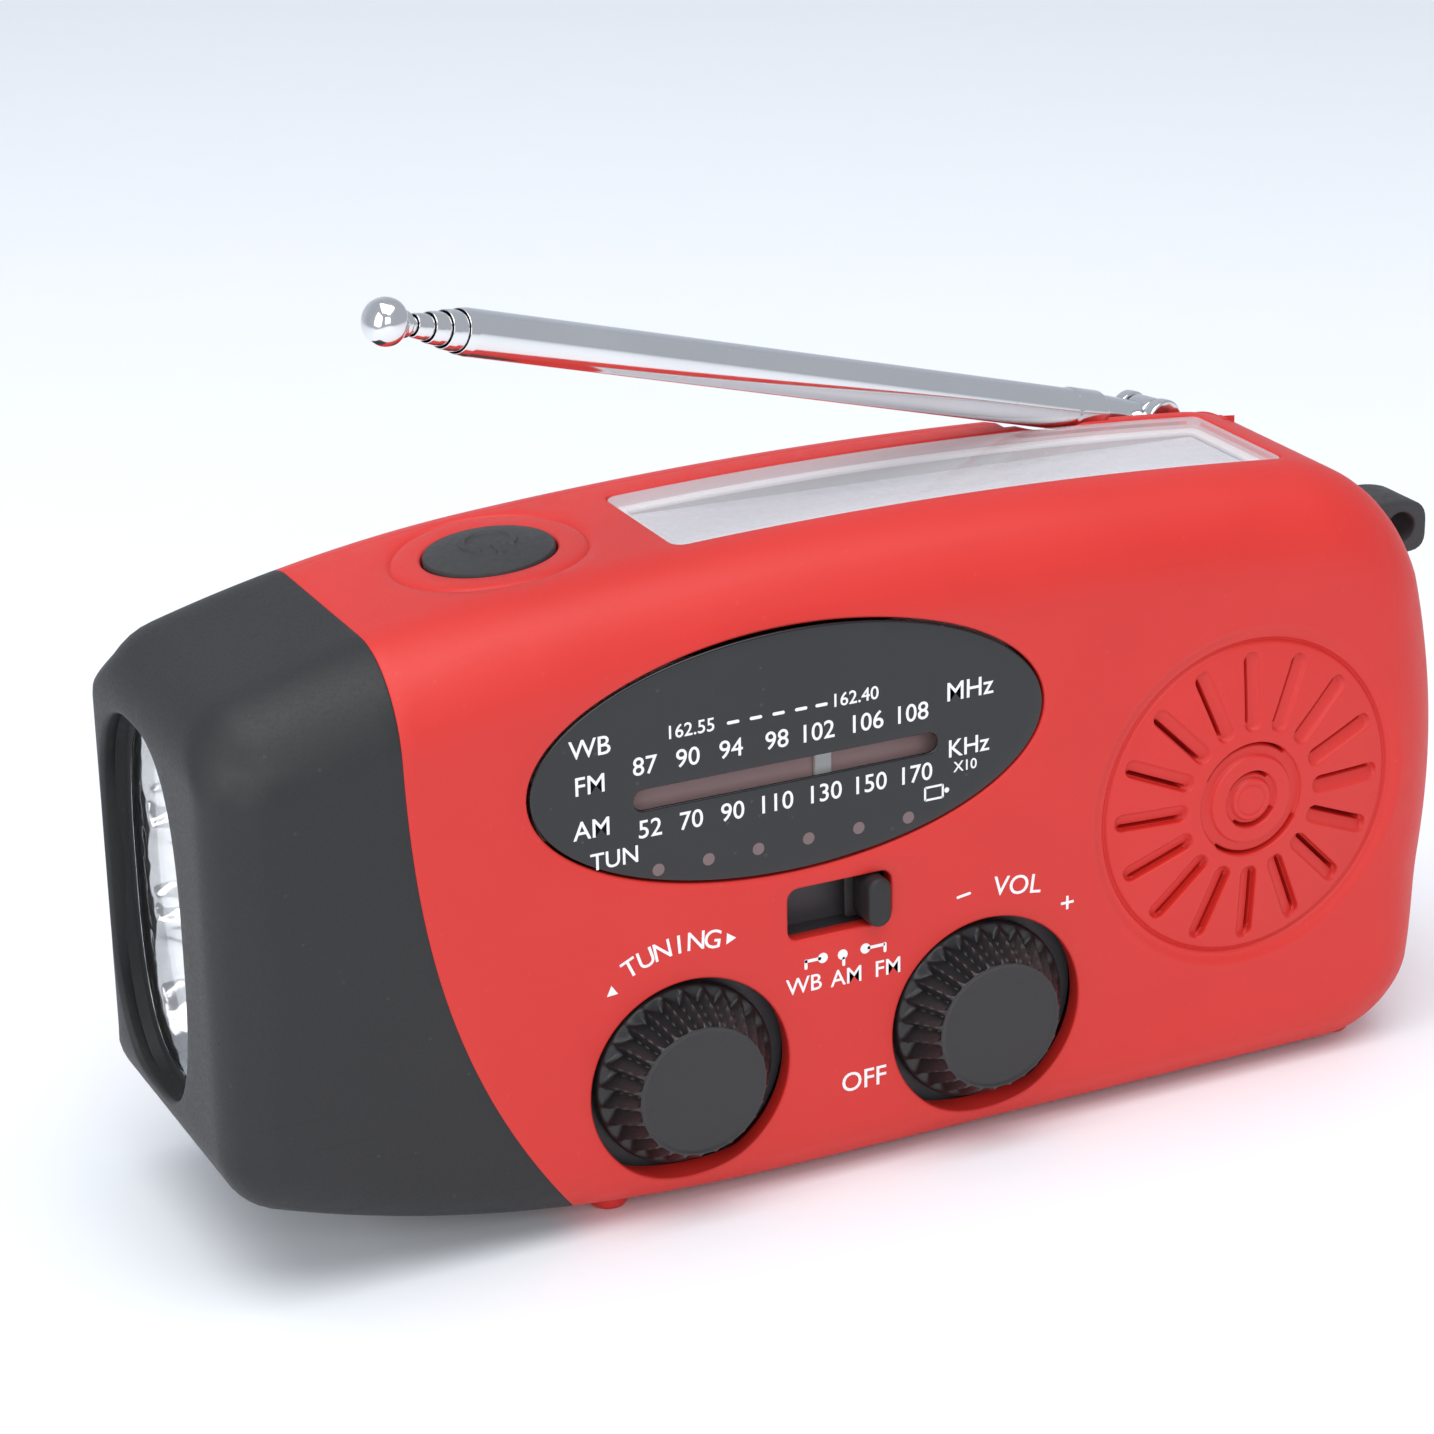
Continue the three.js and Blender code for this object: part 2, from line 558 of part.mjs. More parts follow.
function pulley(name, x) {
  const wheel = solid(turnedY(x, PULLEY.z, groove(PULLEY.r), 16));
  const spokes = [0, 1, 2].map((i) => {
    const angle = (2 * Math.PI * i) / 3;
    const [hx, hz] = [x + 1.5 * Math.cos(angle), PULLEY.z + 1.5 * Math.sin(angle)];
    return solid(rodY(hx, hz, 0.35, -14, -11, 6));
  });
  piece(name, cut(wheel, ...spokes), BRASS);
}

pulley("pulley_left", PULLEY.left);
pulley("pulley_right", PULLEY.right);

function dialDrum() {
  const rim = solid(turnedY(TUNING.x, TUNING.z, groove(DRUM_R), 28));
  const bore = solid(rodY(TUNING.x, TUNING.z, 2.8, -14, -11, 16));
  return cut(rim, bore);
}

piece("dial_drum", dialDrum(), WHITE_PLASTIC);

/** The cord's loop: the outline wrapped round the drum and both pulleys, grown by an offset. */
function wrapped(offset) {
  const wheels = [
    { x: TUNING.x, z: TUNING.z, r: DRUM_R },
    { x: PULLEY.right, z: PULLEY.z, r: PULLEY.r },
    { x: PULLEY.left, z: PULLEY.z, r: PULLEY.r },
  ];
  const leave = wheels.map((from, i) => {
    const to = wheels[(i + 1) % wheels.length];
    const distance = Math.hypot(to.x - from.x, to.z - from.z);
    const heading = Math.atan2(to.z - from.z, to.x - from.x);
    return heading - Math.PI / 2 + Math.asin((to.r - from.r) / distance);
  });
  const points = [];
  wheels.forEach(({ x, z, r }, i) => {
    const from = leave[(i + 2) % 3];
    let to = leave[i];
    while (to < from) to += 2 * Math.PI;
    const steps = Math.max(2, Math.round((to - from) * (r > 4 ? 5 : 3)));
    for (let step = 0; step <= steps; step++) {
      const angle = from + ((to - from) * step) / steps;
      points.push(point(x + (r + offset) * Math.cos(angle), z + (r + offset) * Math.sin(angle)));
    }
  });
  return points;
}

piece("dial_cord", cut(
  solid(prismY(wrapped(0.75), -12.6, -12.2)),
  solid(prismY(wrapped(0.35), -13, -12)),
), WHITE_PLASTIC);

// ---- knobs ----
/** A ribbed knob: a cone of saw-tooth ribs round a flat face, on a hub that runs back to hubY. */
function knob({ x, z }, hubY) {
  const { skirt, face, ribs, frontY, backY } = KNOB;
  const ribbed = (radius, depth) =>
    Array.from({ length: ribs * 2 }, (_, i) => {
      const angle = (Math.PI * (i + (i % 2) * 0.55)) / ribs;
      const reach = radius - (i % 2) * depth;
      return [x + reach * Math.cos(angle), z + reach * Math.sin(angle)];
    });
  const rings = [
    { y: frontY, outline: ribbed(face + 0.9, 0.9) },
    { y: frontY + 2.6, outline: ribbed(skirt, 1.1) },
    { y: backY, outline: ribbed(skirt, 1.1) },
  ];
  const count = ribs * 2;
  const positions = rings.flatMap(({ y, outline }) => outline.flatMap(([px, pz]) => [px, y, pz]));
  positions.push(x, frontY, z, x, backY, z);
  const [frontMid, backMid] = [rings.length * count, rings.length * count + 1];
  const faces = [];
  for (let i = 0; i < count; i++) {
    const next = (i + 1) % count;
    faces.push(frontMid, i, next);
    for (let ring = 0; ring + 1 < rings.length; ring++) {
      const [a, b] = [ring * count + i, ring * count + next];
      faces.push(a, a + count, b, b, a + count, b + count);
    }
    const last = (rings.length - 1) * count;
    faces.push(backMid, last + next, last + i);
  }
  const geometry = new THREE.BufferGeometry();
  geometry.setAttribute("position", new THREE.Float32BufferAttribute(positions, 3));
  geometry.setIndex(faces);
  const hub = solid(rodY(x, z, 2.4, backY - 1, hubY, 14));
  const disc = solid(rodY(x, z, face - 0.4, frontY - 1, frontY + 0.2, 24));
  return join(outward(geometry).subtract(disc), hub);
}

piece("tuning_knob", knob(TUNING, -10.8), BLACK_SOFT);
piece("tuning_capacitor", join(
  solid(box(TUNING.x - 8.4, TUNING.x + 10, -10.2, -4.8, 4.4, 23.5)),
  solid(rodY(TUNING.x, TUNING.z, 4.5, -10.5, -10, 14)),
), WHITE_PLASTIC);
piece("volume_knob", knob(VOLUME, -15.4), BLACK_SOFT);
piece("volume_pot", join(
  solid(rodY(VOLUME.x, VOLUME.z, 8, -15, -11, 20)),
  solid(box(VOLUME.x - 5, VOLUME.x + 5, -12, -4.8, 5.6, 21)),
), STEEL);

// ---- band switch ----
function bandSlider() {
  const rest = SWITCH.x + SWITCH.travel / 2; // at the FM end
  const plate = solid(box(rest - 2, rest + 1.6, -16.7, -15.9, SWITCH.z - 2, SWITCH.z + 2));
  const tab = solid(prismY(roundedBox(rest, SWITCH.z, 2.3, 4.7, 1), FRONT_Y - 1.3, -16));
  return join(plate, tab);
}

piece("band_slider", bandSlider(), BLACK_SOFT);
piece("band_switch_body", join(
  solid(box(-14.6, 1.4, -15.6, -13.6, SWITCH.z - 3.4, SWITCH.z + 3.4)),
  solid(box(-14.6, 1.4, -17.6, -13.6, SWITCH.z - 4.6, SWITCH.z - 3)),
  solid(box(-14.6, 1.4, -17.6, -13.6, SWITCH.z + 3, SWITCH.z + 4.6)),
), GREY_PLASTIC);

// ---- loudspeaker ----
const speakerPart = (name, profile, sides, material) =>
  piece(name, solid(turnedY(SPEAKER.x, SPEAKER.z, profile, sides)), material);
speakerPart("speaker_frame", [
  [14.8, -17.6], [17.2, -17.6], [17.2, -16.4], [15.6, -15.8], [8.6, -9.6], [8.6, -9],
  [6.6, -9], [6.6, -9.8], [14.8, -16.6], [14.8, -17.6],
], 22, STEEL);
speakerPart("speaker_cone", [
  [0, -12.6], [2.6, -12], [3.4, -11.6], [14.3, -17.4], [14.3, -16.9], [6, -10.2], [0, -10.2],
], 20, PAPER);
piece("speaker_magnet", rodY(SPEAKER.x, SPEAKER.z, 8.4, -8.7, -4.8, 24), FERRITE);

// ---- electronics ----
const boardHoles = SCREWS.map(([x, z]) => solid(rodY(x, z, 3.3, -10, 10, 12)));
piece("main_board", cut(solid(prismY([
  point(-42, 26), point(-31, 5.2), point(17, 4), point(17, 52), point(-26, 52), point(-26, 44.6),
  point(-42, 44.6),
], BOARD.y0, BOARD.y1)), ...boardHoles), BOARD_GREEN);
piece("ferrite_rod", rodX(3, 48.5, 3.2, -25, 17, 16), FERRITE);
piece("ferrite_coil", cut(
  solid(rodX(3, 48.5, 4.4, -15, 1, 18)),
  solid(rodX(3, 48.5, 3.5, -16, 2, 18)),
), COPPER);
piece("battery_cell", rodX(3.4, 8.7, 4.8, -27, 14, 18), finish(0x2f6fa8, 0.4));

/** A folded metal socket, open towards the back. */
function socket({ x0, x1, z0, z1, wall }, y0, floor) {
  const shell = solid(box(x0, x1, y0, SOCKET_MOUTH_Y, z0, z1));
  return shell.subtract(solid(box(x0 + wall, x1 - wall, floor, 20, z0 + wall, z1 - wall)));
}

piece("usb_socket", socket(USB, -1, 1.5), STEEL);
piece("micro_usb_socket", socket(MICRO_USB, 7.5, 8.5), STEEL);
piece("charge_board", box(26.6, 52, -3, 10.6, 8.2, 9.8), BOARD_GREEN);

/** The flap over both sockets, with its hinge barrel along the lower edge. */
function portCover() {
  const { x, z, width, height, depth } = PORTS;
  const plate = roundedBox(x, z + 0.35, width - 2 * GAP, height - 0.7 - 2 * GAP, 0.9);
  const flap = solid(prismY(plate, BACK_Y - depth + 0.3, BACK_Y - 0.1));
  const barrel = solid(rodX(BACK_Y - 0.9, z - height / 2 + 0.3, 0.6, x - 10, x + 10, 10));
  const link = solid(box(x - 10, x + 10, BACK_Y - 1.2, BACK_Y - 0.6, z - 4.8, z - 3.9));
  return join(flap, barrel, link);
}

piece("port_cover", portCover(), BLACK_RUBBER);

function strapLug() {
  const outline = [point(54.5, 44.2), point(64.9, 44.8), point(64.9, 49.3), point(62, 50.3), point(54.5, 50.3)];
  const loop = solid(prismY(outline, -6, 0));
  const inside = BODY.add(solid(box(40, 56, -6.4, 0.4, 44, 50.6)));
  const eye = solid(rodZ(61.9, -3, 1.6, 40, 55, 12));
  return loop.subtract(inside).subtract(eye);
}

piece("strap_lug", strapLug(), BLACK_RUBBER);

// ---- hand crank, gears and alternator ----
/** A spur gear: straight-sided teeth, thinner than their gaps so the pair turns freely. */
function gearOutline(x, z, teeth, phase) {
  const pitch = (MODULE * teeth) / 2;
  const step = (2 * Math.PI) / teeth;
  const points = [];
  for (let i = 0; i < teeth; i++) {
    const shape = [[-0.34, -1.15], [-0.1, 0.8], [0.1, 0.8], [0.34, -1.15]];
    for (const [turn, height] of shape) {
      const angle = phase + (i + turn) * step;
      const radius = pitch + height * MODULE;
      points.push(point(x + radius * Math.cos(angle), z + radius * Math.sin(angle)));
    }
  }
  return points;
}

const centreDistance = (a, b) => (MODULE * (a + b)) / 2 + 0.08;
const IDLER_ANGLE = (200 * Math.PI) / 180;
const ROTOR_ANGLE = (150 * Math.PI) / 180;
const IDLER = {
  x: CRANK.x + centreDistance(TEETH.crank, TEETH.pinion) * Math.cos(IDLER_ANGLE),
  z: CRANK.z + centreDistance(TEETH.crank, TEETH.pinion) * Math.sin(IDLER_ANGLE),
};
const ROTOR = {
  x: IDLER.x + centreDistance(TEETH.idler, TEETH.rotor) * Math.cos(ROTOR_ANGLE),
  z: IDLER.z + centreDistance(TEETH.idler, TEETH.rotor) * Math.sin(ROTOR_ANGLE),
};
/** Phase that puts the middle of a tooth gap at an angle. */
const gapAt = (angle, teeth) => angle + Math.PI / teeth;

function crankGear() {
  const wheel = solid(prismY(gearOutline(CRANK.x, CRANK.z, TEETH.crank, IDLER_ANGLE), 8.6, 10.8));
  const bore = solid(rodY(CRANK.x, CRANK.z, 2.8, 8, 12, 16));
  return cut(wheel, bore);
}

function idlerGear() {
  const facing = IDLER_ANGLE + Math.PI;
  const pinion = gearOutline(IDLER.x, IDLER.z, TEETH.pinion, gapAt(facing, TEETH.pinion));
  const wheel = gearOutline(IDLER.x, IDLER.z, TEETH.idler, ROTOR_ANGLE);
  const spindle = rodY(IDLER.x, IDLER.z, 1.2, -1, 12, 10);
  return join(solid(prismY(wheel, 5.2, 7.2)), solid(prismY(pinion, 7.1, 11.2)), solid(spindle));
}

function alternatorRotor() {
  const phase = gapAt(ROTOR_ANGLE + Math.PI, TEETH.rotor);
  const pinion = solid(prismY(gearOutline(ROTOR.x, ROTOR.z, TEETH.rotor, phase), 4.6, 7.6));
  const spindle = solid(rodY(ROTOR.x, ROTOR.z, 1, -1.6, 10, 10));
  const drum = solid(rodY(ROTOR.x, ROTOR.z, 5.6, -1, 3.2, 18));
  return join(drum, spindle, pinion);
}

piece("crank_gear", crankGear(), WHITE_PLASTIC);
piece("idler_gear", idlerGear(), WHITE_PLASTIC);
piece("alternator_rotor", alternatorRotor(), STEEL);
piece("alternator_body", cut(
  solid(rodY(ROTOR.x, ROTOR.z, 7.6, -2.4, 3.6, 22)),
  solid(rodY(ROTOR.x, ROTOR.z, 6.1, -1.5, 5, 22)),
  solid(rodY(ROTOR.x, ROTOR.z, 1.4, -4, 5, 10)),
), COPPER);

/** The crank's arm: hub, tapering arm with a slot for the folded grip, and the shaft to the gear. */
function crankArm() {
  const { x, z, reach, y0, y1, hubR, tipR } = CRANK;
  const tip = x - reach + tipR;
  const arc = (cx, radius, from, steps) =>
    Array.from({ length: steps + 1 }, (_, i) => {
      const angle = from + (Math.PI * i) / steps;
      return point(cx + radius * Math.cos(angle), z + radius * Math.sin(angle));
    });
  const plate = solid(prismY([...arc(x, hubR, -Math.PI / 2, 12), ...arc(tip, tipR, Math.PI / 2, 10)], y0, y1));
  const ears = [-6, 3.9].map((low) => solid(rodZ(GRIP.hinge, GRIP.y, 2.2, z + low, z + low + 2.1, 14)));
  const slot = solid(box(GRIP.hinge - 2.9, GRIP.x1 + 2.2, y0 - 1, y1 + 1, z - 3.9, z + 3.9));
  const pinHole = solid(rodZ(GRIP.hinge, GRIP.y, 0.9, z - 7, z + 7, 10));
  const shaft = solid(rodY(x, z, 2.5, 3, y0 + 1, 16));
  const well = solid(rodY(x, z, 3.4, y1 - 1.2, y1 + 1, 20));
  return cut(join(plate.subtract(slot), shaft, ...ears), pinHole, well);
}

piece("crank_arm", crankArm(), BLACK_SOFT);
piece("crank_screw", cut(
  solid(rodY(CRANK.x, CRANK.z, 3, CRANK.y1 - 0.9, CRANK.y1 + 0.5, 20)),
  solid(box(CRANK.x - 1.8, CRANK.x + 1.8, CRANK.y1, CRANK.y1 + 1, CRANK.z - 0.35, CRANK.z + 0.35)),
  solid(box(CRANK.x - 0.35, CRANK.x + 0.35, CRANK.y1, CRANK.y1 + 1, CRANK.z - 1.8, CRANK.z + 1.8)),
), STEEL);

/** The barrel that folds between the arm's ears, with the axle that the grip turns on. */
function gripAxle() {
  const { hinge, y, x1, barrel } = GRIP;
  const knuckle = solid(rodZ(hinge, y, barrel, CRANK.z - 3.6, CRANK.z + 3.6, 18));
  const axle = solid(rodX(y, CRANK.z, 1.2, hinge + 1, x1 + 0.6, 12));
  const head = solid(rodX(y, CRANK.z, 1.9, x1 + 0.4, x1 + 1.6, 12));
  return cut(join(knuckle, axle, head), solid(rodZ(hinge, y, 0.9, 20, 40, 10)));
}

function gripSleeve() {
  const { y, radius, x0, x1 } = GRIP;
  const profile = [
    [1.3, x0], [radius - 0.6, x0], [radius, x0 + 1], [radius - 0.35, (x0 + x1) / 2],
    [radius, x1 - 1], [radius - 0.6, x1], [1.3, x1], [1.3, x0],
  ];
  const shape = new THREE.LatheGeometry(profile.map(([r, h]) => point(r, h)), 16);
  return outward(shape.rotateZ(-Math.PI / 2).translate(0, y, CRANK.z));
}

piece("grip_pin", rodZ(GRIP.hinge, GRIP.y, 0.75, CRANK.z - 5.8, CRANK.z + 5.8, 10), STEEL);
piece("grip_axle", gripAxle(), STEEL);
piece("grip_sleeve", gripSleeve(), BLACK_SOFT);

// ---- telescopic antenna ----
/** Ring-shaped or solid rod along +X from x0 to x1, in the antenna's own direction. */
function rodAlong(radius, x0, x1, sides = 12) {
  return solid(rodX(0, 0, radius, x0, x1, sides));
}

const raised = new THREE.Group(); // origin on the tilt pin, +X along the antenna
raised.position.set(ANTENNA.x, ANTENNA.y, ANTENNA.z);
raised.rotation.set(
  0,
  -THREE.MathUtils.degToRad(ANTENNA.pitch),
  Math.PI + THREE.MathUtils.degToRad(ANTENNA.yaw),
  "ZYX",
);
root.add(raised);
const swivel = new THREE.Group(); // upright, turned to the antenna's heading
swivel.position.set(ANTENNA.x, ANTENNA.y, 0);
swivel.rotation.z = Math.PI + THREE.MathUtils.degToRad(ANTENNA.yaw);
root.add(swivel);

function antennaBase() {
  const floor = 53.1;
  const foot = solid(rodZ(0, 0, 4.3, floor, floor + 1.6, 18));
  const ears = [-1, 1].map((side) => {
    const cheek = solid(rodY(0, ANTENNA.z, 2.5, -2.7, -1.5, 12));
    const web = solid(box(-2.5, 2.5, -2.7, -1.5, floor + 1, ANTENNA.z));
    const ear = join(cheek, web);
    return side < 0 ? ear : ear.translate([0, 4.2, 0]);
  });
  const bore = solid(rodY(0, ANTENNA.z, 0.9, -5, 5, 10));
  return cut(join(foot, ...ears), bore);
}

piece("antenna_base", antennaBase(), CHROME, swivel);
piece("antenna_pin", rodY(0, ANTENNA.z, 0.7, -3.1, 3.1, 10), STEEL, swivel);

const STEP = 1.6; // each thinner section stands this far out of the one before
const tubeEnd = (i) => ANTENNA.length + STEP * i;

function outerTube() {
  const eye = solid(rodY(0, 0, 2.3, -1.1, 1.1, 14));
  const tongue = solid(box(0, 9, -1.1, 1.1, -1.5, 1.5));
  const hole = solid(rodY(0, 0, 1, -3, 3, 10));
  const ferrule = join(rodAlong(2.2, 8, 12), rodAlong(TUBE_RADII[0], 11, tubeEnd(0)));
  const bore = rodAlong(TUBE_RADII[0] - TUBE_WALL, 14.6, tubeEnd(0) + 1);
  return cut(join(eye, tongue, ferrule), hole, bore);
}

piece("antenna_tube_1", outerTube(), CHROME, raised);
const tubeStart = (i) => 14 + 2 * i; // inner end of section i when all are pushed in
for (let i = 1; i < 4; i++) {
  const tube = rodAlong(TUBE_RADII[i], tubeStart(i), tubeEnd(i));
  const bore = rodAlong(TUBE_RADII[i] - TUBE_WALL, tubeStart(i) + 1.4, tubeEnd(i) + 1);
  piece(`antenna_tube_${i + 1}`, cut(tube, bore), CHROME, raised);
}

function antennaTip() {
  const rod = rodAlong(TUBE_RADII[4], tubeStart(4), tubeEnd(3) + 3);
  const profile = [[0, 0.6], [1.15, 0.6], [1.2, 1.5], [1.9, 2.1], [2.1, 3.1], [1.7, 4.2], [0, 4.7]];
  const knobShape = new THREE.LatheGeometry(profile.map(([r, h]) => point(r, h)), 14);
  knobShape.rotateZ(-Math.PI / 2).translate(tubeEnd(3), 0, 0);
  return join(rod, outward(knobShape));
}

piece("antenna_tip", antennaTip(), CHROME, raised);

export default root;
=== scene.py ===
"""Hand-crank emergency radio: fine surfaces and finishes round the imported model."""

import json
import math

import bpy
import numpy as np
from mathutils import Matrix, Vector
from mathutils.geometry import delaunay_2d_cdt


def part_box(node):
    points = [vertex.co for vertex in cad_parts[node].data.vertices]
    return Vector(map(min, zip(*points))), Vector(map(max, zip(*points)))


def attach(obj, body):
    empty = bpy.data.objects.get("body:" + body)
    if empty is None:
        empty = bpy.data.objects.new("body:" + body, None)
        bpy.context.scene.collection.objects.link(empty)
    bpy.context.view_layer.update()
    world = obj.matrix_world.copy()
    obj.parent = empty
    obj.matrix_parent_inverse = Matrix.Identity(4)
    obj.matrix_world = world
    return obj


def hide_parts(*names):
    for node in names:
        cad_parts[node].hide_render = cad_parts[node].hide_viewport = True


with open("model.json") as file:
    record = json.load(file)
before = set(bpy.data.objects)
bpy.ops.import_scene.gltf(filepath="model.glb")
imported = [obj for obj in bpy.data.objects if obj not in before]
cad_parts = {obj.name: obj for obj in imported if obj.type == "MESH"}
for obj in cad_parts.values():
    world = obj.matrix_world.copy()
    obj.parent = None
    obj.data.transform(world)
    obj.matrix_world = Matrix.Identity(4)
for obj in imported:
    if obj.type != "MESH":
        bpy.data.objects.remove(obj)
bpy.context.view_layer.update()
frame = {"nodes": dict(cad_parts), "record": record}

MM = 0.001
TURN = 2 * math.pi


def middle(node):
    """Middle of a node's box, in millimetres."""
    low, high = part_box(node)
    return (np.array(low) + np.array(high)) / 2 / MM


def corners(node):
    """Lowest and highest corner of a node's box, in millimetres."""
    low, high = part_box(node)
    return np.array(low) / MM, np.array(high) / MM


# ---- sizes, in millimetres ----
FRONT, BACK, PART = -20.0, 15.0, 7.0
WALL, GAP = 2.0, 0.3
ROLL = {"top": 8.6, "right": 7.4, "bottom": 4.0, "left": 4.0}
CORNER = {"top_right": 10.4, "bottom_right": 7.4, "bottom_left": 4.0, "top_left": 5.0}
LEFT_X = corners("torch_head")[0][0]
RIGHT_X = corners("front_shell")[1][0]
GRIP_BORE = 1.3
SPEAKER = middle("speaker_magnet")[[0, 2]]
TUNING = middle("tuning_knob")[[0, 2]]
VOLUME = middle("volume_knob")[[0, 2]]
KNOB_HOLE = 9.7
DIAL = middle("dial_window")[[0, 2]]
DIAL_A, DIAL_B = 25.1, 11.3
SWITCH = middle("band_switch_body")[[0, 2]] + np.array([-0.3, 0])
SOLAR_LOW, SOLAR_HIGH = corners("solar_cover")
BUTTON = middle("torch_button")[:2]
SCREWS = [middle("case_screw_%d" % k)[[0, 2]] for k in (1, 2, 3, 4)]
CRANK = middle("crank_screw")[[0, 2]]
PORT = np.array([39.2, 13.4])
PORT_WINDOW = PORT - np.array([0, 0.5])  # middle of the opening, lower than the cover for its hinge
TORCH = {"y": 0.7, "z": 31.0, "half_y": 10.4, "half_z": 17.4, "power": 2.8}
ANTENNA = np.array([42.4, 10.0, 57.0])
YAW, PITCH = math.radians(17), math.radians(17.35)
TUBE_RADII = [2.05, 1.75, 1.43, 1.11]
GRIP_HINGE = (-10.3, 19.2)
PORT_HINGE = (14.1, 8.7)
KNOB_BACK = -17.4
SCREW_LOW, SCREW_HIGH = 12.7, 14.3
PRINT_LIFT = 0.03


# ---- outline of the case ----
def top_z(x):
    """Crown line: a shallow parabola that drops a little faster towards the torch head."""
    return 60.85 - 0.0011 * (x - 0.4) ** 2 - 2.86 * (np.maximum(0, -29.6 - x) / 33.5) ** 2


def bottom_z(x):
    """Underside: flat, then rising to the torch head by a power of the distance."""
    return 0.8 + 8.8 * (np.maximum(0, -7.1 - x) / 56) ** 2.5


def right_x(z):
    """Loudspeaker end: a shallow parabola."""
    return 59.9 - 0.0069 * (z - 29) ** 2


def seam_x(z):
    """Seam between head and case: straight near the top, sweeping right towards the bottom by a cube."""
    return -47.9 + 17.1 * np.maximum(0, 1 - z / 60) ** 3


def smooth(t):
    """Smooth step: 3 t^2 - 2 t^3 between 0 and 1."""
    s = np.clip(t, 0, 1)
    return s * s * (3 - 2 * s)


def roll_radius(nx, nz, z):
    """Radius of the rolled edge where the outline faces (nx, nz) at height z."""
    up, down = smooth((nz + 0.2) / 0.9), smooth((-nz - 0.1) / 0.7)
    right = ROLL["bottom"] + (ROLL["right"] - ROLL["bottom"]) * smooth((z - 4) / 14)
    side = np.where(nx < 0, ROLL["left"], right)
    return side * (1 - up) * (1 - down) + ROLL["top"] * up + ROLL["bottom"] * down


def conic(a, apex, b, steps):
    """Round corner: the conic arc tangent to both sides, as a rational quadratic curve."""
    u, v = (a - apex) / np.linalg.norm(a - apex), (b - apex) / np.linalg.norm(b - apex)
    weight = math.sqrt((1 - u @ v) / 2)
    t = np.linspace(0, 1, steps + 1)[1:-1, None]
    p, q, r = (1 - t) ** 2, 2 * t * (1 - t) * weight, t ** 2
    return (p * a + q * apex + r * b) / (p + q + r)


def case_outline(count=1600):
    """The outline, clockwise from the middle of the head's end face, even along its length.

    Each row holds length so far, x, z, outward nx, nz and the roll radius."""
    x_top = RIGHT_X
    x_low = RIGHT_X
    for _ in range(12):
        x_top, x_low = right_x(top_z(x_top)), right_x(bottom_z(x_low))
    apex = {
        "top_right": np.array([x_top, top_z(x_top)]),
        "bottom_right": np.array([x_low, bottom_z(x_low)]),
        "bottom_left": np.array([LEFT_X, bottom_z(LEFT_X)]),
        "top_left": np.array([LEFT_X, top_z(LEFT_X)]),
    }
    xs = np.linspace(LEFT_X + CORNER["top_left"], x_top - CORNER["top_right"], 400)
    top = np.stack([xs, top_z(xs)], 1)
    zs = np.linspace(
        apex["top_right"][1] - CORNER["top_right"],
        apex["bottom_right"][1] + CORNER["bottom_right"], 200)
    right = np.stack([right_x(zs), zs], 1)
    xs = np.linspace(x_low - CORNER["bottom_right"], LEFT_X + CORNER["bottom_left"], 400)
    bottom = np.stack([xs, bottom_z(xs)], 1)
    low, high = apex["bottom_left"][1] + CORNER["bottom_left"], apex["top_left"][1] - CORNER["top_left"]
    half = (low + high) / 2
    start = np.stack([np.full(60, LEFT_X), np.linspace(half, high, 60)], 1)
    end = np.stack([np.full(60, LEFT_X), np.linspace(low, half, 60)], 1)
    points = np.concatenate([
        start, conic(start[-1], apex["top_left"], top[0], 60),
        top, conic(top[-1], apex["top_right"], right[0], 90),
        right, conic(right[-1], apex["bottom_right"], bottom[0], 60),
        bottom, conic(bottom[-1], apex["bottom_left"], end[0], 60), end])
    steps = np.linalg.norm(np.diff(points, axis=0), axis=1)
    keep = np.concatenate([[True], steps > 1e-6])
    points = points[keep]
    length = np.concatenate([[0], np.cumsum(np.linalg.norm(np.diff(points, axis=0), axis=1))])
    even = np.linspace(0, length[-1], count + 1)
    x, z = np.interp(even, length, points[:, 0]), np.interp(even, length, points[:, 1])
    step = np.stack([np.roll(row[:-1], -1) - np.roll(row[:-1], 1) for row in (x, z)], 1)
    for _ in range(3):
        step = (np.roll(step, 1, 0) + step + np.roll(step, -1, 0)) / 3
    step /= np.linalg.norm(step, axis=1, keepdims=True)
    nx, nz = -step[:, 1], step[:, 0]
    nx, nz = np.append(nx, nx[0]), np.append(nz, nz[0])
    radius = roll_radius(nx, nz, z)
    return np.stack([even, x, z, nx, nz, radius])


OUTLINE = case_outline()
ROUND = OUTLINE[0, -1]
CHART_PHI = math.radians(45)
ROLL_V = 7.0  # width of the roll on the side's chart


def around(length):
    """x, z, nx, nz and roll radius at a length along the outline."""
    at = np.mod(length, ROUND)
    return [np.interp(at, OUTLINE[0], row) for row in OUTLINE[1:]]


def rolled(length, phi, inset):
    """Point on the front roll: a quarter circle of the roll radius from the face to the side."""
    x, z, nx, nz, radius = around(length)
    small = np.maximum(1.5, radius - inset)
    inward = inset + small * (1 - np.sin(phi))
    y = FRONT + inset + small * (1 - np.cos(phi))
    return np.stack([x - nx * inward, y, z - nz * inward], -1)


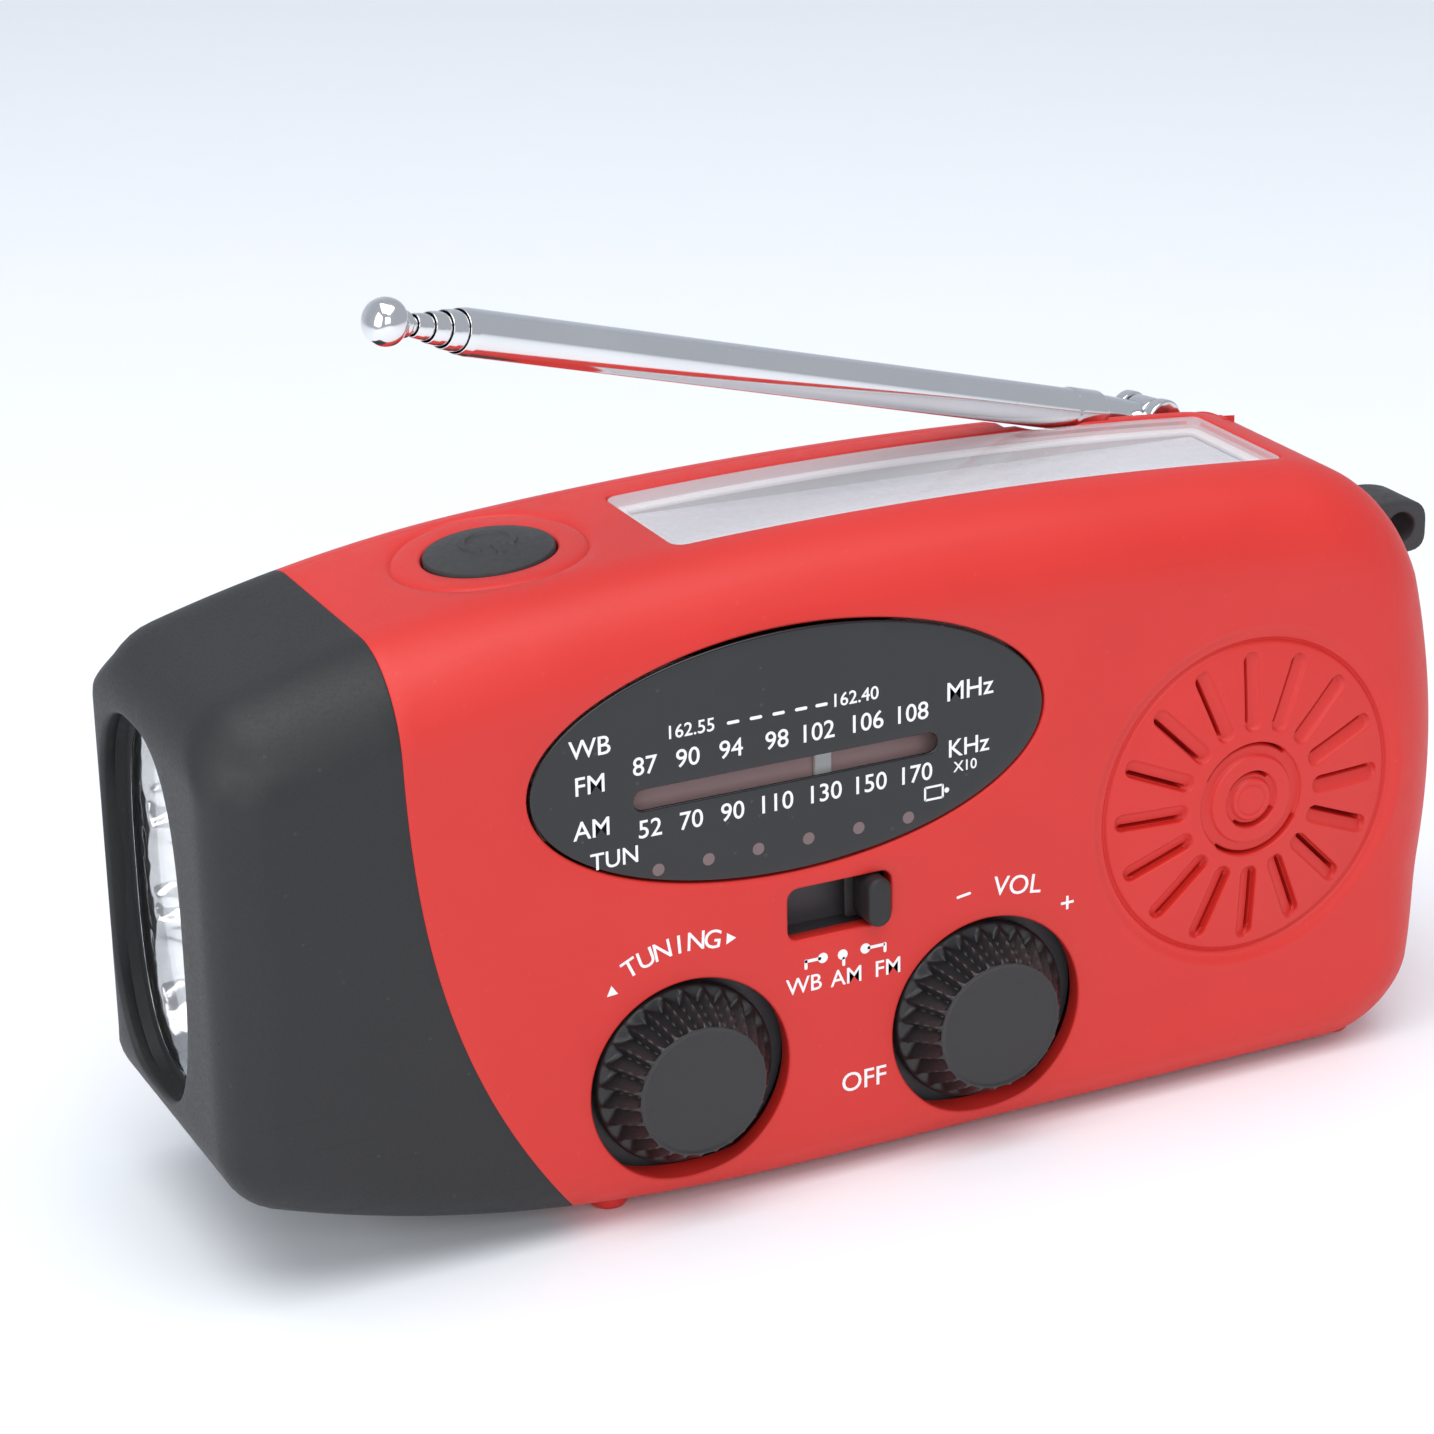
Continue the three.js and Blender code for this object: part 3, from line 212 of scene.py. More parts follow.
def wrapped(length, v, inset, both=False):
    """The case's side as a function of length along the outline and v across it.

    v from 0 to ROLL_V turns round the front roll and goes on along the side in millimetres;
    with both, it then turns round the back roll in the same way."""
    x, z, nx, nz, radius = around(length)
    phi = CHART_PHI + (math.pi / 2 - CHART_PHI) * np.clip(v / ROLL_V, 0, 1)
    front = rolled(length, phi, inset)
    side = np.stack([x - nx * inset, FRONT + radius + v - ROLL_V, z - nz * inset], -1)
    out = np.where((v <= ROLL_V)[..., None], front, side)
    if both:
        past = v - ROLL_V - (BACK - FRONT - 2 * radius)
        phi = math.pi / 2 - (math.pi / 2 - CHART_PHI) * np.clip(past / ROLL_V, 0, 1)
        back = rolled(length, phi, inset)
        back[..., 1] = FRONT + BACK - back[..., 1]
        out = np.where((past > 0)[..., None], back, out)
    return out


def v_of(length, y, both=False):
    """The v whose side point has this y."""
    radius = around(length)[4]
    spread = math.pi / 2 - CHART_PHI
    phi = np.arccos(np.clip(1 - (y - FRONT) / radius, -1, 1))
    out = np.where(y < FRONT + radius, ROLL_V * (phi - CHART_PHI) / spread, ROLL_V + y - FRONT - radius)
    if both:
        phi = np.arccos(np.clip(1 - (BACK - y) / radius, -1, 1))
        past = ROLL_V + BACK - FRONT - 2 * radius + ROLL_V * (math.pi / 2 - phi) / spread
        out = np.where(y > BACK - radius, past, out)
    return out


def face_point(x, z, inset):
    """A point of the front: flat, and near the outline on the roll that the distance to it gives."""
    _, ox, oz, nx, nz, radius = OUTLINE[:, :-1]
    far = (x[:, None] - ox) ** 2 + (z[:, None] - oz) ** 2
    near = far.argmin(1)
    distance = (ox[near] - x) * nx[near] + (oz[near] - z) * nz[near]
    r = radius[near]
    phi = np.arcsin(np.clip(1 - distance / r, 0, 1))
    depth = r * (1 - np.cos(phi))
    outer = np.stack([x, FRONT + depth, z], -1)
    normal = np.stack([nx[near] * np.sin(phi), -np.cos(phi), nz[near] * np.sin(phi)], -1)
    return outer - inset * normal


def length_at_top(x):
    """Length along the outline of a place on the top."""
    on_top = (OUTLINE[0] > 0) & (OUTLINE[4] > 0.6)
    return np.interp(x, OUTLINE[1][on_top], OUTLINE[0][on_top])


# ---- meshes ----
CLEAR = 0.45  # share of the spacing that grid points keep from a loop
WELD = 2e-4  # points closer than this are one, in millimetres


def inside(points, loops):
    """Even-odd test of 2-D points against closed loops."""
    result = np.zeros(len(points), bool)
    for loop in loops:
        a, b = loop, np.roll(loop, -1, 0)
        for start in range(0, len(points), 4000):
            p = points[start:start + 4000]
            above = (a[:, 1] > p[:, 1:2]) != (b[:, 1] > p[:, 1:2])
            rise = np.where(np.abs(b[:, 1] - a[:, 1]) < 1e-12, 1e-12, b[:, 1] - a[:, 1])
            cross = a[:, 0] + (p[:, 1:2] - a[:, 1]) * (b[:, 0] - a[:, 0]) / rise
            result[start:start + 4000] ^= (above & (p[:, 0:1] < cross)).sum(1) % 2 == 1
    return result


def fill_chart(loops, spacing, extra=()):
    """Triangles that fill the first loop and leave the others open.

    Grid points a spacing apart keep the faces even, and stay CLEAR of that from the loops.
    Returns points, triangles and each loop's indices."""
    rings = [np.asarray(loop, float) for loop in loops]
    extra = [np.asarray(e, float) for e in extra]
    low, high = rings[0].min(0), rings[0].max(0)
    gx = np.arange(low[0], high[0], spacing)
    gz = np.arange(low[1], high[1], spacing)
    grid = np.stack(np.meshgrid(gx, gz, indexing="ij"), -1)
    grid[:, 1::2, 0] += spacing / 2
    grid = grid.reshape(-1, 2)
    grid = grid[inside(grid, rings)]
    fixed = np.concatenate(rings + extra)
    keep = np.ones(len(grid), bool)
    for start in range(0, len(grid), 2000):
        part = grid[start:start + 2000]
        near = ((part[:, None] - fixed[None]) ** 2).sum(-1).min(1)
        keep[start:start + 2000] = near > (CLEAR * spacing) ** 2
    points = np.concatenate([fixed, grid[keep]])
    edges, spans, at = [], [], 0
    for ring in rings:
        span = np.arange(at, at + len(ring))
        spans.append(span)
        edges += list(zip(span.tolist(), np.roll(span, -1).tolist()))
        at += len(ring)
    made = delaunay_2d_cdt([tuple(p) for p in points], edges, [], 0, 1e-9, True)
    coords = points[[olds[0] for olds in made[3]]]
    faces = np.array(made[2])
    place = np.full(len(points), -1)
    for new, olds in enumerate(made[3]):
        for old in olds:
            place[old] = new
    a, b, c = (coords[faces[:, k]] for k in range(3))
    area = np.cross(b - a, c - a)
    faces = np.where((area < 0)[:, None], faces[:, ::-1], faces)
    faces = faces[(np.abs(area) > 1e-10) & inside((a + b + c) / 3, rings)]
    return coords, faces, [place[span] for span in spans]


def edge_loops(faces):
    """Closed loops of the edges that only one face has, each with the faces on its left."""
    edges = np.concatenate([faces[:, [0, 1]], faces[:, [1, 2]], faces[:, [2, 0]]])
    size = int(edges.max()) + 1
    keys, back = edges[:, 0] * size + edges[:, 1], edges[:, 1] * size + edges[:, 0]
    open_edges = edges[~np.isin(keys, back)]
    following = dict(open_edges.tolist())
    loops = []
    while following:
        start = next(iter(following))
        loop, at = [start], following.pop(start)
        while at != start:
            loop.append(at)
            at = following.pop(at)
        loops.append(np.array(loop))
    return loops


def rim_rows(outer, inner, lip, steps, inner_lip):
    """Rows from a loop on the outer skin, round a quarter-circle lip and down to the inner skin."""
    normal = (outer - inner) / np.linalg.norm(outer - inner, axis=1, keepdims=True)
    away = np.cross(np.roll(outer, -1, 0) - np.roll(outer, 1, 0), normal)
    away /= np.linalg.norm(away, axis=1, keepdims=True) + 1e-12
    rows = [outer]
    for k in range(1, steps + 1):
        angle = math.pi / 2 * k / steps
        rows.append(outer + away * lip * math.sin(angle) - normal * lip * (1 - math.cos(angle)))
    for k in range(steps, 0, -1) if inner_lip else ():
        angle = math.pi / 2 * k / steps
        rows.append(inner + away * inner_lip * math.sin(angle) + normal * inner_lip * (1 - math.cos(angle)))
    rows.append(inner)
    return np.stack(rows)


class Skin:
    """Vertices and faces of one closed piece, gathered patch by patch and welded at the end."""

    def __init__(self):
        self.points, self.faces, self.count = [], [], 0

    def add(self, points, faces):
        """Append a patch of points with its faces, which count from the patch's own first point."""
        self.points.append(np.asarray(points, float))
        for face in faces if isinstance(faces, list) else [faces]:
            if len(face):
                self.faces.append(np.asarray(face) + self.count)
        self.count += len(points)

    def grid(self, rows, closed=True, flip=False):
        """A strip of rows of points; each row closes on itself if closed."""
        rows = np.asarray(rows)
        n, m = rows.shape[:2]
        i, j = np.meshgrid(np.arange(n - 1), np.arange(m if closed else m - 1), indexing="ij")
        i, j = i.ravel(), j.ravel()
        k = (j + 1) % m
        quads = np.stack([i * m + j, i * m + k, (i + 1) * m + k, (i + 1) * m + j], 1)
        self.add(rows.reshape(-1, 3), quads[:, ::-1] if flip else quads)

    def cap(self, ring, flip=False):
        """Close a ring with a fan from its middle."""
        m = len(ring)
        j = np.arange(m)
        fan = np.stack([j, (j + 1) % m, np.full(m, m)], 1)
        self.add(np.concatenate([ring, ring.mean(0, keepdims=True)]), fan[:, ::-1] if flip else fan)

    def walled(self, charts, lip, inner_lip=0.0, steps=3):
        """A wall from charts of (outer, inner, faces): both skins, and a rim round every open loop.

        lip is the edge's round, or a function of a loop's outer points that gives it."""
        outer = np.concatenate([c[0] for c in charts])
        inner = np.concatenate([c[1] for c in charts])
        starts = np.cumsum([0] + [len(c[0]) for c in charts])
        faces = np.concatenate([c[2] + start for c, start in zip(charts, starts)])
        _, first, place = np.unique(np.round(outer / WELD).astype(np.int64), axis=0,
                                    return_index=True, return_inverse=True)
        outer, inner, faces = outer[first], inner[first], place.ravel()[faces]
        same = (faces[:, 0] == faces[:, 1]) | (faces[:, 1] == faces[:, 2]) | (faces[:, 2] == faces[:, 0])
        faces = faces[~same]
        self.add(outer, faces)
        self.add(inner, faces[:, ::-1])
        for loop in edge_loops(faces):
            size = lip(outer[loop]) if callable(lip) else lip
            self.grid(rim_rows(outer[loop], inner[loop], size, steps, inner_lip), flip=True)


def weld(points, faces):
    """Merge points at the same place, and drop the faces that lose a side."""
    keys = np.round(points / WELD).astype(np.int64)
    _, first, place = np.unique(keys, axis=0, return_index=True, return_inverse=True)
    place = place.ravel()
    merged = []
    for block in faces:
        block = place[block]
        if block.shape[1] == 4:
            three = [block[:, [0, 1, 2]], block[:, [0, 2, 3]]]
            flat = np.zeros(len(block), bool)
            for a in range(4):
                flat |= block[:, a] == block[:, (a + 1) % 4]
            merged.append(block[~flat])
            block = np.concatenate([t[flat] for t in three])
        good = (block[:, 0] != block[:, 1]) & (block[:, 1] != block[:, 2]) & (block[:, 2] != block[:, 0])
        merged.append(block[good])
    return points[first], merged


def make(name, skin, body, nodes=(), material=None, sharp=35.0):
    """Turn a skin in millimetres into a smooth-shaded piece that rides on a body."""
    points, blocks = weld(np.concatenate(skin.points), skin.faces)
    mesh = bpy.data.meshes.new(name)
    faces = [f for block in blocks for f in block.tolist()]
    mesh.from_pydata((points * MM).tolist(), [], faces)
    mesh.polygons.foreach_set("use_smooth", np.ones(len(faces), bool))
    mesh.update()
    mesh.set_sharp_from_angle(angle=math.radians(sharp))
    piece = bpy.data.objects.new(name, mesh)
    bpy.context.scene.collection.objects.link(piece)
    if material:
        mesh.materials.append(material)
    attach(piece, body)
    if nodes:
        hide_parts(*nodes)
    return piece


def circle(cx, cy, radius, count, start=0.0):
    """Even points round a circle."""
    t = start + TURN * np.arange(count) / count
    return np.stack([cx + radius * np.cos(t), cy + radius * np.sin(t)], 1)


def oval(cx, cy, a, b, count):
    """Points round an ellipse with half axes a and b."""
    t = TURN * np.arange(count) / count
    return np.stack([cx + a * np.cos(t), cy + b * np.sin(t)], 1)


def round_box(cx, cy, width, height, radius, step=0.4):
    """Rectangle with round corners, even points along the arcs and the sides."""
    points = []
    for corner in range(4):
        sx, sy = (1, -1, -1, 1)[corner], (1, 1, -1, -1)[corner]
        n = max(4, int(radius * math.pi / 2 / step) + 1)
        t = math.pi / 2 * (corner + np.linspace(0, 1, n))
        arc = np.stack([cx + sx * (width / 2 - radius) + radius * np.cos(t),
                        cy + sy * (height / 2 - radius) + radius * np.sin(t)], 1)
        points.append(arc)
    out = []
    for n, arc in enumerate(points):
        out.append(arc)
        following = points[(n + 1) % 4][0]
        gap = np.linalg.norm(following - arc[-1])
        m = int(gap / (3 * step))
        if m > 1:
            t = np.linspace(0, 1, m + 1)[1:-1, None]
            out.append(arc[-1] * (1 - t) + following * t)
    return np.concatenate(out)


def superoval(cy, cz, half_y, half_z, power, count):
    """Even points round |y/a|^power + |z/b|^power = 1."""
    t = TURN * np.arange(count) / count
    bent = lambda value: np.sign(value) * np.abs(value) ** (2 / power)
    loop = np.stack([cy + half_y * bent(np.cos(t)), cz + half_z * bent(np.sin(t))], 1)
    closed = np.concatenate([loop, loop[:1]])
    length = np.concatenate([[0], np.cumsum(np.linalg.norm(np.diff(closed, axis=0), axis=1))])
    even = np.linspace(0, length[-1], count + 1)[:-1]
    return np.stack([np.interp(even, length, closed[:, k]) for k in range(2)], 1)


# ---- case: charts of the two shells and the head ----
SIDE_STEP = 0.8  # between points along an edge
SIDE_SPACING, FACE_SPACING = 1.3, 2.0  # between grid points within a chart


def seam_length(v, top, shift, both=False):
    """Length along the outline where the side crosses the seam, at each v."""
    if top:
        lengths = np.linspace(length_at_top(-57.0), length_at_top(-38.0), 300)
    else:
        low = (OUTLINE[0] > ROUND / 2) & (OUTLINE[1] < -22) & (OUTLINE[1] > -46) & (OUTLINE[4] < -0.5)
        lengths = OUTLINE[0][low]
    grid = np.broadcast_to(lengths, (len(v), len(lengths)))
    points = wrapped(grid, np.broadcast_to(v[:, None], grid.shape), 0, both)
    past = points[..., 0] - seam_x(points[..., 2]) - shift
    return np.array([np.interp(0, row if top else -row, lengths) for row in past])


def run(a, b, step):
    """Even values from a to b, about a step apart, without the last."""
    return np.linspace(a, b, max(2, int(abs(b - a) / step) + 1))[:-1]


def side_ends(far_y, top, shift):
    """Chart points along one seam end of a shell's side, from v = 0 to its far edge."""
    length = seam_length(np.array([0.0]), top, shift)
    for _ in range(3):
        far = v_of(length[-1:], far_y)[0]
        v = np.linspace(0, far, int(far / SIDE_STEP) + 2)
        length = seam_length(v, top, shift)
    return np.stack([length, v], 1)


def seam_line(z_from, z_to, shift):
    """Points of the seam on a face, from one height to the other, ends left out."""
    z = np.linspace(z_from, z_to, 70)[1:-1]
    return np.stack([seam_x(z) + shift, z], 1)


def side_chart(loops, extra=(), both=False):
    """Outer and inner skin of a stretch of the side, from loops in (length, v)."""
    at, faces, _ = fill_chart(loops, SIDE_SPACING, extra)
    return wrapped(at[:, 0], at[:, 1], 0, both), wrapped(at[:, 0], at[:, 1], WALL, both), faces


def face_chart(ring, rest, holes):
    """Outer and inner skin of the front, bounded by points of the side's ring and the rest of a loop."""
    edge = wrapped(ring[:, 0], ring[:, 1], 0)
    inner_edge = wrapped(ring[:, 0], ring[:, 1], WALL)
    outline = np.concatenate([edge[:, [0, 2]], rest])
    at, faces, spans = fill_chart([outline, *holes], FACE_SPACING)
    outer, inner = face_point(at[:, 0], at[:, 1], 0), face_point(at[:, 0], at[:, 1], WALL)
    outer[spans[0][:len(ring)]], inner[spans[0][:len(ring)]] = edge, inner_edge
    return outer, inner, faces


def mirrored(chart):
    """The same chart turned to the back of the case."""
    outer, inner, faces = (part.copy() for part in chart)
    outer[:, 1], inner[:, 1] = FRONT + BACK - outer[:, 1], FRONT + BACK - inner[:, 1]
    return outer, inner, faces[:, ::-1]


POCKET = {"x0": 24.0, "x1": 48.4, "y": 5.4, "floor": 52.8, "bend": 35.5, "start": 59.7}
TUBE_WAY = np.array([-math.cos(PITCH) * math.cos(YAW), -math.cos(PITCH) * math.sin(YAW), math.sin(PITCH)])


def tube_bed(points):
    """How far a point of the crown sinks so that the antenna's tube clears it.

    The bed is the underside of a cylinder round the tube's axis, 0.3 mm wider than the tube."""
    radius = TUBE_RADII[0] + 0.3
    off = points[:, :2] - ANTENNA[:2]
    flat = TUBE_WAY[:2] / math.cos(PITCH)
    along, aside = off @ flat, off @ np.array([-flat[1], flat[0]])
    under = np.sqrt(np.maximum(radius ** 2 - aside ** 2, 0)) / math.cos(PITCH)
    floor = ANTENNA[2] + along * math.tan(PITCH) - under
    wet = (np.abs(aside) < radius) & (along > 0) & (points[:, 2] > 50)
    return np.where(wet, np.maximum(points[:, 2] - floor, 0), 0)


def far_edge(start, end, far_y):
    """Chart points along a shell's far edge, from one length to another."""
    length = run(start, end, SIDE_STEP)
    return np.stack([length, v_of(length, far_y)], 1)


def top_loop(x, y):
    """A loop on the crown, from x and y to (length, v)."""
    length = length_at_top(x)
    return np.stack([length, v_of(length, y)], 1)


def solar_rim(grow):
    """Outline of the solar window in x and y, grown by a distance."""
    low, high = SOLAR_LOW, SOLAR_HIGH
    middle_x, middle_y = (low[0] + high[0]) / 2, (low[1] + high[1]) / 2
    width, depth = high[0] - low[0] + 2 * grow, high[1] - low[1] + 2 * grow
    return round_box(middle_x, middle_y, width, depth, max(0.5, 1.1 + grow), 0.25)


BUTTON_RING = 8.8  # radius of the groove round the torch button
GROOVE_LINES = (-0.45, -0.22, 0, 0.22, 0.45)  # rows of points across that groove
KNOB_RIM = KNOB_HOLE + 0.3
SEAM_LIP, HOLE_LIP, LONG_LOOP = 0.15, 0.25, 500


def edge_lip(points):
    """Round of an edge: small along the long seam, larger round a hole."""
    return SEAM_LIP if len(points) > LONG_LOOP else HOLE_LIP


def front_shell():
    """Front half of the case: a chart of the side and one of the face, both with their openings.

    A Gaussian of the distance to the button's ring sinks a groove into the top."""
    shift = GAP / 2
    far = PART - GAP / 2
    top_end, low_end = side_ends(far, True, shift), side_ends(far, False, shift)
    ring_lengths = run(top_end[0, 0], low_end[0, 0], SIDE_STEP)
    ring = np.stack([ring_lengths, 0 * ring_lengths], 1)
    lower = far_edge(low_end[-1, 0], length_at_top(POCKET["x1"]), far)
    upper = far_edge(length_at_top(POCKET["x0"]), top_end[-1, 0], far)
    notch_lengths = length_at_top(np.linspace(POCKET["x1"], POCKET["x0"], 60))
    notch = np.stack([notch_lengths, v_of(notch_lengths, POCKET["y"])], 1)
    loop = np.concatenate([ring, low_end[:-1], lower, notch, upper, top_end[:0:-1]])
    window = top_loop(*solar_rim(GAP).T)
    hole = circle(*BUTTON, 6.4, 90)
    groove = [top_loop(*circle(*BUTTON, BUTTON_RING + d, 150).T) for d in GROOVE_LINES]
    outer, inner, faces = side_chart([loop, window, top_loop(*hole.T)], extra=groove)
    sunk = tube_bed(outer)
    outer[:, 2] -= sunk
    inner[:, 2] -= sunk
    away = np.hypot(outer[:, 0] - BUTTON[0], outer[:, 1] - BUTTON[1]) - BUTTON_RING
    on_top = outer[:, 2] > 45
    outer[:, 2] -= 0.3 * np.exp(-(away / 0.24) ** 2) * on_top
    side = outer, inner, faces
    end_point, start_point = np.append(low_end[:1], top_end[:1], 0)
    turn = wrapped(np.array([end_point[0], start_point[0]]), np.zeros(2), 0)
    ring = np.append(ring, low_end[:1], 0)
    rest = seam_line(turn[0, 2], turn[1, 2], shift)
    holes = [
        circle(*TUNING, KNOB_RIM, 120), circle(*VOLUME, KNOB_RIM, 120),
        oval(*DIAL, DIAL_A + GAP + 0.2, DIAL_B + GAP + 0.2, 260),
        round_box(*SWITCH, 10.9, 5.5, 1.3, 0.2), grille_rim()]
    face = face_chart(ring, rest, holes)

    def lip(points):
        """Round of an edge by where it lies: none at the grille, wide at the button."""
        centre = points.mean(0)
        if np.hypot(centre[0] - SPEAKER[0], centre[2] - SPEAKER[1]) < 1 and centre[1] < FRONT + 1:
            return 0.0
        if np.hypot(centre[0] - BUTTON[0], centre[1] - BUTTON[1]) < 2:
            return 0.35
        return edge_lip(points)

    skin = Skin()
    skin.walled([side, face], lip)
    return skin


def rear_shell():
    """Rear half of the case, built facing front and then mirrored.

    Its side is in two charts, left and right of the antenna's pocket. Its face has the pocket's notch."""
    shift = GAP / 2
    far = FRONT + BACK - PART - GAP / 2
    top_end, low_end = side_ends(far, True, shift), side_ends(far, False, shift)

    def on_roll(x, z):
        """Lengths and heights on the roll of places on the back, where the pocket leaves the case."""
        _, ox, oz, nx, nz, radius = OUTLINE[:, :-1]
        near = ((x[:, None] - ox) ** 2 + (z[:, None] - oz) ** 2).argmin(1)
        distance = (ox[near] - x) * nx[near] + (oz[near] - z) * nz[near]
        phi = np.arcsin(np.clip(1 - distance / radius[near], 0, 1))
        return np.stack([OUTLINE[0][near], ROLL_V * (phi - CHART_PHI) / (math.pi / 2 - CHART_PHI)], 1)

    slope_x = np.linspace(POCKET["x0"], POCKET["bend"], 60)
    drop = POCKET["floor"] - POCKET["start"]
    slope_z = POCKET["start"] + drop * (slope_x - slope_x[0]) / (slope_x[-1] - slope_x[0])
    slope = on_roll(slope_x, slope_z)
    far_v = v_of(slope[:, 0], far)
    cross = int(np.argmax(slope[:, 1] < 0))
    share = slope[cross - 1, 1] / (slope[cross - 1, 1] - slope[cross, 1])
    turn_length = slope[cross - 1, 0] * (1 - share) + slope[cross, 0] * share
    keep = (slope[:, 1] > 0.3) & (slope[:, 1] < far_v - 0.3)
    x0_length = length_at_top(np.array([POCKET["x0"]]))
    left_edge = np.concatenate([
        [[turn_length, 0]], slope[keep][::-1], [[x0_length[0], v_of(x0_length, far)[0]]]])
    x1_length = length_at_top(POCKET["x1"])
    ring_left = run(top_end[0, 0], turn_length, SIDE_STEP)
    ring_left = np.append(np.stack([ring_left, 0 * ring_left], 1), [[turn_length, 0]], 0)
    left_far = far_edge(left_edge[-1, 0], top_end[-1, 0], far)
    left = np.concatenate([ring_left[:-1], left_edge[:-1], left_far, top_end[:0:-1]])
    right_far_v = v_of(np.array([x1_length]), far)[0]
    right_edge = np.stack([np.full(12, x1_length), np.linspace(right_far_v, 0, 12)], 1)
    ring_right = run(x1_length, low_end[0, 0], SIDE_STEP)
    ring_right = np.append(np.stack([ring_right, 0 * ring_right], 1), low_end[:1], 0)
    right_far = far_edge(low_end[-1, 0], x1_length, far)
    right = np.concatenate([ring_right[:-1], low_end[:-1], right_far, right_edge[:-1]])
    sides = [side_chart([left]), side_chart([right])]
    corner = wrapped(np.array([turn_length, x1_length]), np.zeros(2), 0)
    down = np.linspace(corner[0, [0, 2]], [POCKET["bend"], POCKET["floor"]], 14)[1:-1]
    flat = np.stack([np.linspace(POCKET["bend"], POCKET["x1"], 20), np.full(20, POCKET["floor"])], 1)
    up = np.linspace([corner[1, 0], POCKET["floor"]], corner[1, [0, 2]], 8)[1:-1]
    outline_rest_top = np.concatenate([down, flat, up])
    ends = wrapped(np.array([low_end[0, 0], top_end[0, 0]]), np.zeros(2), 0)
    rest = seam_line(ends[0, 2], ends[1, 2], shift)
    rings = np.concatenate([ring_left, ring_right])
    edge = wrapped(rings[:, 0], rings[:, 1], 0)
    inner_edge = wrapped(rings[:, 0], rings[:, 1], WALL)
    n = len(ring_left)
    outline = np.concatenate([edge[:n, [0, 2]], outline_rest_top, edge[n:, [0, 2]], rest])
    holes = [circle(x, z, 2.95, 48) for x, z in SCREWS]
    holes += [circle(*CRANK, 3.4, 60), round_box(*PORT_WINDOW, 25.4, 11.6, 1.2, 0.3)]
    at, faces, spans = fill_chart([outline, *holes], FACE_SPACING)
    outer, inner = face_point(at[:, 0], at[:, 1], 0), face_point(at[:, 0], at[:, 1], WALL)
    first, second = spans[0][:n], spans[0][n + len(outline_rest_top):][:len(ring_right)]
    for span, part in ((first, slice(0, n)), (second, slice(n, None))):
        outer[span], inner[span] = edge[part], inner_edge[part]
    skin = Skin()
    skin.walled([mirrored(chart) for chart in [*sides, (outer, inner, faces)]], edge_lip)
    return skin


def torch_oval(grow, count):
    """The torch's mouth, a superoval grown by a distance, in y and z."""
    return superoval(
        TORCH["y"], TORCH["z"], TORCH["half_y"] + grow, TORCH["half_z"] + grow, TORCH["power"], count)


def torch_head():
    """Head at the left end: one chart round both rolls with the mouth cut in it, and two faces."""
    shift = -GAP / 2

    def end(top):
        """Chart points along one seam end, from the front roll to the back roll."""
        length = seam_length(np.array([0.0]), top, shift, True)
        for _ in range(3):
            far = 2 * ROLL_V + BACK - FRONT - 2 * around(length[-1:])[4][0]
            v = np.linspace(0, far, int(far / SIDE_STEP) + 2)
            length = seam_length(v, top, shift, True)
        return np.stack([length, v], 1)

    top_end, low_end = end(True), end(False)
    low_end[:, 0] -= ROUND
    ring_lengths = run(low_end[0, 0], top_end[0, 0], SIDE_STEP)
    ring = np.stack([ring_lengths, 0 * ring_lengths], 1)
    back_lengths = run(top_end[-1, 0], low_end[-1, 0], SIDE_STEP)
    back_v = 2 * ROLL_V + BACK - FRONT - 2 * around(back_lengths)[4]
    back = np.stack([back_lengths, back_v], 1)
    loop = np.concatenate([ring, top_end[:-1], back, low_end[:0:-1]])
    left = (OUTLINE[0] > ROUND / 2) & (OUTLINE[3] < -0.5)
    right = (OUTLINE[0] < ROUND / 2) & (OUTLINE[3] < -0.5)
    heights = np.concatenate([OUTLINE[2][left], OUTLINE[2][right]])
    lengths = np.concatenate([OUTLINE[0][left] - ROUND, OUTLINE[0][right]])
    order = np.argsort(heights)
    mouth = torch_oval(0.5, 170)
    mouth_length = np.interp(mouth[:, 1], heights[order], lengths[order])
    hole = np.stack([mouth_length, v_of(mouth_length, mouth[:, 0], True)], 1)
    side = side_chart([loop, hole], both=True)
    faces = []
    for flip in (False, True):
        if flip:
            first = np.concatenate([low_end[-1:], back[:0:-1], top_end[-1:]])
        else:
            first = np.append(ring, top_end[:1], 0)
        at = wrapped(first[:, 0], first[:, 1], 0, True)
        rest = seam_line(at[-1, 2], at[0, 2], shift)
        inner_at = wrapped(first[:, 0], first[:, 1], WALL, True)
        outline = np.concatenate([at[:, [0, 2]], rest])
        chart, triangles, spans = fill_chart([outline], 1.6)
        outer = face_point(chart[:, 0], chart[:, 1], 0)
        inner = face_point(chart[:, 0], chart[:, 1], WALL)
        if flip:
            outer, inner, triangles = mirrored((outer, inner, triangles))
        span = spans[0][:len(first)]
        outer[span], inner[span] = at, inner_at
        faces.append((outer, inner, triangles))
    skin = Skin()
    skin.walled([side, *faces], lambda p: 0.5 if p[:, 0].max() < -60 else 0.2, steps=4)
    return skin


# ---- loudspeaker grille ----
GRILLE_EDGE = 17.2
LOUVRES = 16
WELL, SLIT = 0.925, 0.2


